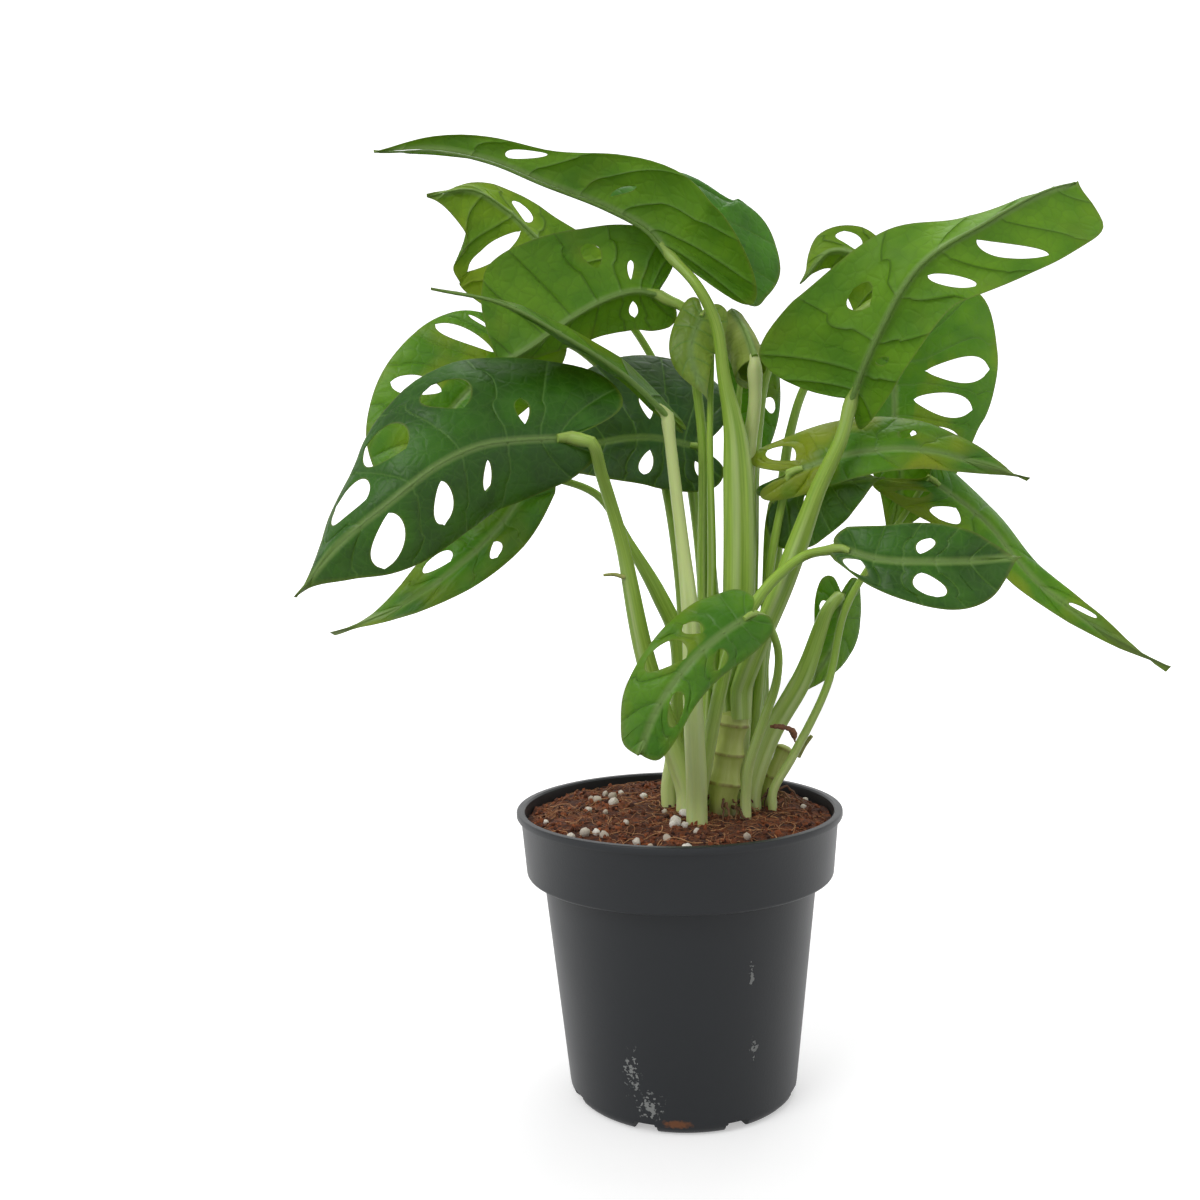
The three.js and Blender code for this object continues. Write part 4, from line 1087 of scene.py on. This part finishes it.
# ---- materials ----------------------------------------------------------------------------
def linear(colour):
    """An sRGB hex colour such as "4a8a27" as linear red, green, blue and alpha."""
    channels = [int(colour[i:i + 2], 16) / 255 for i in (0, 2, 4)]
    bright = [c / 12.92 if c <= 0.04045 else ((c + 0.055) / 1.055) ** 2.4 for c in channels]
    return (*bright, 1)


def add(tree, kind, inputs=None, **settings):
    """Adds one shader node. settings are its properties. inputs are its sockets by name or
    number, each with a value or with another node's output to link."""
    node = tree.nodes.new("ShaderNode" + kind)
    for key, value in settings.items():
        setattr(node, key, value)
    for key, value in (inputs or {}).items():
        if isinstance(value, bpy.types.NodeSocket):
            tree.links.new(value, node.inputs[key])
        else:
            node.inputs[key].default_value = value
    return node


def new_material(name):
    material = bpy.data.materials.new(name)
    material.use_nodes = True
    tree = material.node_tree
    tree.nodes.clear()
    return material, tree


A, B, MIXED = 6, 7, 2  # a colour Mix node's sockets
WHOLE = (0, 1)


def painted(tree, skin, *layers):
    """Paints layers over a skin, one after another. Each has the value that it follows, where
    along that value it starts and ends, how strong it is there, and its colour."""
    for value, (low, high), (first, last), colour in layers:
        strength = add(tree, "MapRange", {
            "Value": value, "From Min": low, "From Max": high, "To Min": first, "To Max": last,
        }).outputs[0]
        colour = linear(colour) if isinstance(colour, str) else colour
        mix = add(tree, "Mix", {0: strength, A: skin, B: colour}, data_type="RGBA")
        skin = mix.outputs[MIXED]
    return skin


def finished(tree, skin, rough, bump, **more):
    """Gives a material its surface. more: further sockets, with _ for a space."""
    sockets = {key.replace("_", " "): value for key, value in more.items()}
    surface = add(tree, "BsdfPrincipled", {
        "Base Color": skin, "Roughness": rough, "Normal": bump, **sockets,
    })
    add(tree, "OutputMaterial", {"Surface": surface.outputs[0]})


LEAF_GREENS = {
    # upper face, its lighter patches, underside, its lighter patches
    "deep": ("22580f", "3a7a17", "5a8a22", "78a032"),
    "mid": ("34780f", "509a14", "5f9a12", "80b41c"),
    "light": ("4a8c0e", "6ea818", "6f9e12", "97bb20"),
    "teal": ("1f4d2c", "2f6440", "4a7350", "60875e"),
    "young": ("7f9f34", "a5c052", "a9bd52", "ccd684"),
}
VEIN_GREEN = "6f9f4a"
VEIN_GREEN_BELOW = "47681a"


def leaf_material(green, yellow):
    """Living monstera leaf: a waxy, faintly quilted skin that lets light through. Pale
    midrib, fine side veins and mottled greens give it life."""
    material, tree = new_material(f"leaf_skin_{green}_{round(yellow * 100):02d}")
    upper, upper_light, under, under_light = LEAF_GREENS[green]
    vein_below = under if green == "young" else VEIN_GREEN_BELOW
    place = add(tree, "Attribute", attribute_name="flat_place").outputs["Vector"]
    off_vein, off_rib, off_edge, below = [
        add(tree, "Attribute", attribute_name=name).outputs["Fac"]
        for name in ("off_vein", "off_rib", "off_edge", "underside")
    ]
    dark, light, vein = [
        painted(tree, linear(above), (below, WHOLE, WHOLE, beneath))
        for above, beneath in (
            (upper, under), (upper_light, under_light), (VEIN_GREEN, vein_below))
    ]
    # Cloudy patches so many millimetres wide: mottling, age, wax and the skin's own grain.
    patches, aged, wax, grain = [
        add(tree, "TexNoise", {"Vector": place, "Scale": 1 / (size * MM), "Detail": detail})
        .outputs["Fac"]
        for size, detail in ((18, 3), (26, 2), (6, 2), (0.5, 2))
    ]
    # The net of small veins, in cells of about 4 mm.
    net = add(tree, "TexVoronoi", {"Vector": place, "Scale": 1 / (4 * MM)},
              feature="DISTANCE_TO_EDGE").outputs["Distance"]
    # Yellowing creeps in from the margin in patches.
    near_edge = add(tree, "MapRange", {
        "Value": off_edge, "From Min": 0, "From Max": 14, "To Min": 0.12, "To Max": 0,
    }).outputs[0]
    aged = add(tree, "Math", {0: aged, 1: near_edge}, operation="ADD").outputs[0]
    age = 0.3 * yellow
    skin = painted(
        tree, dark,
        (patches, (0.38, 0.62), WHOLE, light),  # no blade is one green
        (off_vein, (0, 4), (0.35, 0), dark),  # painted shade: darker into each side vein's valley
        (off_vein, (0.15, 0.55), (0.55, 0), vein),  # pale side veins above, dark below
        (net, (0, 0.09), (0.16, 0), vein),
        (aged, (0.7 - age, 0.85 - age), (0, min(1, 1.3 * yellow)), "b3b822"),
        (off_rib, (0.7, 1.9), (0.85, 0), "94b565"),  # a pale midrib
        (off_edge, (0.15, 0.7), (0.5, 0), "87983f"),  # a pale line round margin and holes
    )
    # Wax: a satin upper face and a duller underside.
    satin = add(tree, "MapRange", {"Value": wax, "To Min": 0.3, "To Max": 0.48}).outputs[0]
    rough = add(tree, "Math", {0: below, 1: 0.14, 2: satin}, operation="MULTIPLY_ADD").outputs[0]
    # Bump: the net of veins pressed in by a tenth of a millimetre, and the skin's grain.
    pressed = add(tree, "MapRange", {"Value": net, "From Min": 0, "From Max": 0.2}).outputs[0]
    relief = add(tree, "Math", {0: grain, 1: 0.25, 2: pressed}, operation="MULTIPLY_ADD")
    bump = add(tree, "Bump", {
        "Height": relief.outputs[0], "Distance": 0.12 * MM, "Strength": 0.8,
    }).outputs[0]
    surface = add(tree, "BsdfPrincipled", {
        "Base Color": skin, "Roughness": rough, "Normal": bump, "IOR": 1.42,
    })
    # Light from behind comes through warmer and yellower than the skin's own colour.
    warm = add(tree, "Mix", {0: 0.5, A: skin, B: linear("b8c93a")}, data_type="RGBA")
    glow = add(tree, "BsdfTranslucent", {"Color": warm.outputs[MIXED], "Normal": bump})
    mixed = add(tree, "MixShader", {0: 0.42, 1: surface.outputs[0], 2: glow.outputs[0]})
    add(tree, "OutputMaterial", {"Surface": mixed.outputs[0]})
    return material


def streaks(tree, around, along, turns, length):
    """Lengthwise streaks: so many to a radian round the stem, and so many mm long."""
    place = add(tree, "CombineXYZ", {0: around, 1: along}).outputs[0]
    scale = (turns, 1 / (length * MM), 1)
    stretched = add(tree, "VectorMath", {0: place, 1: scale}, operation="MULTIPLY").outputs[0]
    return add(tree, "TexNoise", {"Vector": stretched, "Scale": 1, "Detail": 4}).outputs["Fac"]


def stalk_material():
    """Petiole skin: smooth and juicy, pale green with fine lengthwise fibres, paler at the
    knee below the blade and nearly white at the foot."""
    material, tree = new_material("petiole_skin")
    around, along, edge, foot, paleness = [
        add(tree, "Attribute", attribute_name=name).outputs["Fac"]
        for name in ("around", "along", "sheath_edge", "foot", "pale")
    ]
    fibres = streaks(tree, around, along, 6, 30)
    fibres = add(tree, "MapRange", {"Value": fibres, "From Min": 0.3, "From Max": 0.7}).outputs[0]
    near_foot = add(tree, "MapRange", {
        "Value": foot, "From Min": 2, "From Max": 48, "To Min": 0.75, "To Max": 0,
    }).outputs[0]
    pale = add(tree, "Math", {0: near_foot, 1: paleness}, operation="MAXIMUM").outputs[0]
    skin = painted(
        tree, linear("86ad34"),
        (fibres, WHOLE, WHOLE, "a9c84e"),
        (along, (6 * MM, 22 * MM), (0.55, 0), "a3b964"),
        (pale, WHOLE, WHOLE, "dbe69f"),
        (edge, WHOLE, (0, 0.6), "c9d99a"),
    )
    bump = add(tree, "Bump", {"Height": fibres, "Distance": 0.1 * MM, "Strength": 0.6}).outputs[0]
    finished(tree, skin, 0.42, bump, IOR=1.4, Subsurface_Weight=0.25,
             Subsurface_Scale=4 * MM, Subsurface_Radius=(0.6, 1.0, 0.2))
    return material


# Chalky scuffs on the pot, and a smear of earth: centre and reach along x, y and z.
SCUFFS = [
    ((-20, -38, 22), (5, 9, 12)),
    ((-14, -40, 10), (7, 9, 8)),
    ((21, -42, 56), (1.6, 8, 9)),
    ((22, -40, 29), (2.5, 8, 6)),
]
EARTH_SMEAR = ((-5, -42, 4.5), (7, 20, 2.2))


def off_spot(tree, place, centre, reach):
    """How far a place is from a spot's centre, as a share of the spot's reach."""
    centre, scale = tuple(c * MM for c in centre), tuple(1 / (r * MM) for r in reach)
    away = add(tree, "VectorMath", {0: place, 1: centre}, operation="SUBTRACT").outputs[0]
    away = add(tree, "VectorMath", {0: away, 1: scale}, operation="MULTIPLY").outputs[0]
    return add(tree, "VectorMath", {0: away}, operation="LENGTH").outputs["Value"]


def pot_material():
    """Recycled polypropylene, injection moulded: dark grey, satin, with the fine grain of the
    mould and a few chalky scuffs where it has been handled."""
    material, tree = new_material("moulded_polypropylene")
    place = add(tree, "TexCoord").outputs["Object"]
    # Cloudy patches so many millimetres wide: shading, speckle and the mould's grain.
    cloud, speckle, grain = [
        add(tree, "TexNoise", {"Vector": place, "Scale": 1 / (size * MM), "Detail": detail})
        .outputs["Fac"]
        for size, detail in ((30, 3), (1.4, 4), (0.8, 2))
    ]
    chalk = 0
    for centre, reach in SCUFFS:
        away = off_spot(tree, place, centre, reach)
        near = add(tree, "MapRange", {"Value": away, "To Min": 0.3, "To Max": 0}).outputs[0]
        chalk = add(tree, "Math", {0: chalk, 1: near}, operation="MAXIMUM").outputs[0]
    worn = add(tree, "Math", {0: chalk, 1: speckle}, operation="ADD").outputs[0]
    worn = add(tree, "MapRange", {
        "Value": worn, "From Min": 0.7, "From Max": 0.78, "To Min": 0, "To Max": 0.8,
    }).outputs[0]
    worn = add(tree, "Math", {0: worn, 1: chalk}, operation="MULTIPLY").outputs[0]
    worn = add(tree, "MapRange", {
        "Value": worn, "From Min": 0, "From Max": 0.1, "To Min": 0, "To Max": 0.8,
    }).outputs[0]
    away = off_spot(tree, place, *EARTH_SMEAR)
    smeared = add(tree, "Math", {0: speckle, 1: away}, operation="ADD").outputs[0]
    grey = painted(
        tree, linear("1c1f23"),
        (cloud, WHOLE, WHOLE, "24272a"),
        (worn, WHOLE, WHOLE, "a8aaa8"),
        (smeared, (0.9, 1.3), (0.75, 0), "8a5530"),
    )
    rough = add(tree, "MapRange", {"Value": cloud, "To Min": 0.36, "To Max": 0.5}).outputs[0]
    rough = add(tree, "Math", {0: worn, 1: 0.3, 2: rough}, operation="MULTIPLY_ADD").outputs[0]
    bump = add(tree, "Bump", {"Height": grain, "Distance": 0.06 * MM, "Strength": 0.5}).outputs[0]
    finished(tree, grey, rough, bump, IOR=1.49, Specular_IOR_Level=0.32)
    return material


def mix_material():
    """Coir and peat: damp reddish-brown crumbs, darker where they are wetter."""
    material, tree = new_material("coir_and_peat")
    place = add(tree, "TexCoord").outputs["Object"]
    heaps = add(tree, "TexNoise", {"Vector": place, "Scale": 1 / (12 * MM), "Detail": 4})
    crumbs = add(tree, "TexVoronoi", {"Vector": place, "Scale": 1 / (1.4 * MM)})
    crumb = add(tree, "SeparateColor", {0: crumbs.outputs["Color"]}).outputs[0]
    brown = painted(
        tree, linear("47220c"),
        (heaps.outputs["Fac"], (0.35, 0.65), WHOLE, "8a4719"),
        (crumb, WHOLE, WHOLE, "33170b"),
    )
    grit = add(tree, "TexVoronoi", {"Vector": place, "Scale": 1 / (1.1 * MM)}).outputs["Distance"]
    bump = add(tree, "Bump", {"Height": grit, "Distance": 0.6 * MM, "Strength": 1.0}).outputs[0]
    finished(tree, brown, 0.95, bump)
    return material


def tinted_material(name, dark, light, roughness, spots, depth):
    """Loose bits of one kind, each with a tint of its own and a surface of spots so many
    millimetres wide and pits so deep."""
    material, tree = new_material(name)
    tint = add(tree, "Attribute", attribute_name="tint").outputs["Fac"]
    place = add(tree, "TexCoord").outputs["Object"]
    fleck = add(tree, "TexNoise", {"Vector": place, "Scale": 1 / (spots * MM), "Detail": 3})
    fleck = fleck.outputs["Fac"]
    share = add(tree, "Math", {0: tint, 1: fleck}, operation="MULTIPLY").outputs[0]
    colour = painted(tree, linear(dark), (share, (0.05, 0.5), WHOLE, light))
    bump = add(tree, "Bump", {"Height": fleck, "Distance": depth * MM, "Strength": 1.0}).outputs[0]
    finished(tree, colour, roughness, bump)
    return material


def cane_material():
    """Young vine stem: glossy pale green between corky brown node rings."""
    material, tree = new_material("green_vine_stem")
    ring, around, along = [
        add(tree, "Attribute", attribute_name=name).outputs["Fac"]
        for name in ("ring", "around", "along")
    ]
    streak = streaks(tree, around, along, 2, 12)
    scar = add(tree, "Math", {0: ring, 1: streak}, operation="MULTIPLY").outputs[0]
    green = painted(
        tree, linear("aabb48"),
        (streak, WHOLE, WHOLE, "d3d98c"),
        (scar, (0.2, 0.55), WHOLE, "8c7a45"),
        (along, (2 * MM, 9 * MM), (0.9, 0), "54402a"),  # earth at the foot
    )
    bump = add(tree, "Bump", {"Height": streak, "Distance": 0.2 * MM, "Strength": 0.6}).outputs[0]
    finished(tree, green, 0.4, bump, IOR=1.4)
    return material


# ---- build the plant ----------------------------------------------------------------------
ABOVE_MIX = np.array([0, 0, MIX_TOP])


def raised(part):
    part["points"] = part["points"] + ABOVE_MIX
    return part


petiole_skin = stalk_material()
for number, leaf in enumerate(LEAVES):
    name = leaf["name"]
    rail = Rail(leaf["rib"])
    blade = joined([blade_body(leaf, rail, number), midrib_body(leaf, rail, number)])
    skin = leaf_material(leaf["green"], leaf["yellow"])
    make_piece(f"leaf_{name}", "root", raised(blade), skin, [f"blade_{name}"])
    petiole = raised(stalk_body(leaf))
    make_piece(f"petiole_{name}", "root", petiole, petiole_skin, [f"stalk_{name}"])

shell_of_pot = turned_body(pot_profile(), POT_ROUND)
pot = make_piece(
    "pot_shell", "root", shell_of_pot, pot_material(), ["pot"], POT_SHARP_ANGLE)
cut_drains(pot)

make_piece("mix_surface", "root", mix_body(), mix_material(), ["potting_mix"])

RANDOM_SEED = 7
rng = np.random.default_rng(RANDOM_SEED)
crumbs = scattered_lumps(rng, 900, 1, (0.8, 2.6), 0.7, 0.45)
pebbles = scattered_lumps(rng, 34, 2, (2.2, 4.6), 0.35, 0.7, perlite_likely)
strands = coir_fibres(rng, 420)
crumb_brown = tinted_material("bark_crumb", "38190b", "8f4d26", 0.95, 0.8, 0.2)
perlite_white = tinted_material("perlite", "b7aa98", "e9e4da", 0.85, 0.6, 0.25)
coir_strand = tinted_material("coir_fibre", "6b3c20", "b98658", 0.8, 3, 0.1)
make_piece("bark_crumbs", "root", crumbs, crumb_brown)
make_piece("perlite_pebbles", "root", pebbles, perlite_white)
make_piece("coir_strands", "root", strands, coir_strand)

cane_skin = cane_material()
for cane in CANES:
    name = cane["name"]
    make_piece(f"stem_{name}", "root", raised(cane_body(cane)), cane_skin, [name])

dry_brown = tinted_material("dried_sheath_skin", "3b2015", "8a5a3c", 0.8, 1.2, 0.2)
stub_green = tinted_material("cut_stalk_skin", "6d7a34", "a8ad5c", 0.7, 1.5, 0.1)
root_brown = tinted_material("cane_root_skin", "4a2a18", "8f6a44", 0.8, 1.5, 0.15)
sheath = raised(dried_sheath_body())
make_piece("sheath_dried", "root", sheath, dry_brown, ["dried_sheath"])
make_piece("stalk_stubs", "root", raised(stub_bodies()), stub_green)
make_piece("cane_roots", "root", raised(root_bodies(rng)), root_brown)

# ---- camera, light and floor ----------------------------------------------------------------
PITCH = 0.058
ROLL = -0.022
CAMERA_PLACE = (-0.0274, -0.432, 0.207)
LENS_LENGTH = 35.25
SENSOR_WIDTH = 36
PLANT_MIDDLE = (0, 0, 0.2)
FLOOR_ROUND = 96
# The paper floor's section from under the pot to the top of the wall it curves up into.
FLOOR_PROFILE = [
    (0, 0), (1.2, 0), (1.8, 0.05), (2.2, 0.25), (2.4, 0.6), (2.45, 1.0), (2.45, 1.7)]


def make_camera():
    data = bpy.data.cameras.new("camera")
    data.sensor_width = SENSOR_WIDTH
    data.lens = LENS_LENGTH
    data.clip_start = 0.01
    forward = Vector((0, math.cos(PITCH), -math.sin(PITCH)))
    raised_up = Vector((0, math.sin(PITCH), math.cos(PITCH)))
    right = math.cos(ROLL) * Vector((1, 0, 0)) + math.sin(ROLL) * raised_up
    up = -math.sin(ROLL) * Vector((1, 0, 0)) + math.cos(ROLL) * raised_up
    camera = bpy.data.objects.new("camera", data)
    turned = Matrix((right, up, -forward)).transposed().to_4x4()
    camera.matrix_world = Matrix.Translation(CAMERA_PLACE) @ turned
    bpy.context.scene.collection.objects.link(camera)
    bpy.context.scene.camera = camera


def make_light(name, place, size, watts):
    """A square softbox that faces the plant."""
    data = bpy.data.lights.new(name, "AREA")
    data.size = size
    data.energy = watts
    light = bpy.data.objects.new(name, data)
    light.location = place
    towards = Vector(PLANT_MIDDLE) - light.location
    light.rotation_euler = towards.to_track_quat("-Z", "Y").to_euler()
    bpy.context.scene.collection.objects.link(light)


def floor_material():
    """Matt white paper with a painted glow of its own. The glow brightens away from the plant, as a
    lit backdrop does,
    and fades near the pot: painted shade that deepens the real soft shadow under it."""
    material, tree = new_material("pale_paper")
    place = add(tree, "TexCoord").outputs["Object"]
    away = add(tree, "VectorMath", {0: place}, operation="LENGTH").outputs["Value"]
    # Painted light and shade: the paper's glow is weakest by the plant and strongest a metre away.
    glow = add(tree, "MapRange", {
        "Value": away, "From Min": 0.1, "From Max": 1.0, "To Min": 0.42, "To Max": 1.0,
    }).outputs[0]
    surface = add(tree, "BsdfPrincipled", {
        "Base Color": linear("dcdcdc"), "Roughness": 0.9,
        "Emission Color": (1, 1, 1, 1), "Emission Strength": glow,
    })
    add(tree, "OutputMaterial", {"Surface": surface.outputs[0]})
    return material


def make_floor():
    """A pale floor that curves up all round into a wall, so that no horizon shows."""
    angles = np.arange(FLOOR_ROUND) * 2 * math.pi / FLOOR_ROUND
    rings = [
        [(r * math.cos(a), r * math.sin(a), z) for a in angles] for r, z in FLOOR_PROFILE[1:]]
    points = [(0, 0, 0)] + [p for ring in rings for p in ring]
    index = 1 + np.arange(len(rings) * FLOOR_ROUND).reshape(-1, FLOOR_ROUND)
    index = np.hstack([index, index[:, :1]])
    middle = [(0, index[0, i], index[0, i + 1]) for i in range(FLOOR_ROUND)]
    mesh = bpy.data.meshes.new("floor")
    mesh.from_pydata(points, [], grid_faces(index).tolist() + middle)
    mesh.polygons.foreach_set("use_smooth", [True] * len(mesh.polygons))
    mesh.materials.append(floor_material())
    floor = bpy.data.objects.new("floor", mesh)
    floor.visible_diffuse = False  # the paper's own glow is for the eye and lights nothing
    bpy.context.scene.collection.objects.link(floor)


def make_world():
    """Bright ceiling, dimmer walls and little light from below, as under softboxes."""
    world = bpy.data.worlds.new("studio")
    world.use_nodes = True
    tree = world.node_tree
    tree.nodes.clear()
    direction = add(tree, "TexCoord").outputs["Generated"]
    height = add(tree, "SeparateXYZ", {0: direction}).outputs["Z"]
    strength = add(tree, "MapRange", {
        "Value": height, "From Min": -0.5, "From Max": 0.9, "To Min": 0.12, "To Max": 0.75,
    }).outputs[0]
    sky = add(tree, "Background", {"Color": (1, 1, 1, 1), "Strength": strength})
    add(tree, "OutputWorld", {"Surface": sky.outputs[0]})
    bpy.context.scene.world = world


make_camera()
make_floor()
make_world()
make_light("key", (-0.9, -1.0, 1.3), 0.8, 11)
make_light("fill", (1.2, -0.9, 0.9), 1.2, 0.8)
make_light("top", (0.2, 0.6, 1.6), 1.0, 9)
bpy.context.scene.view_settings.view_transform = "Standard"
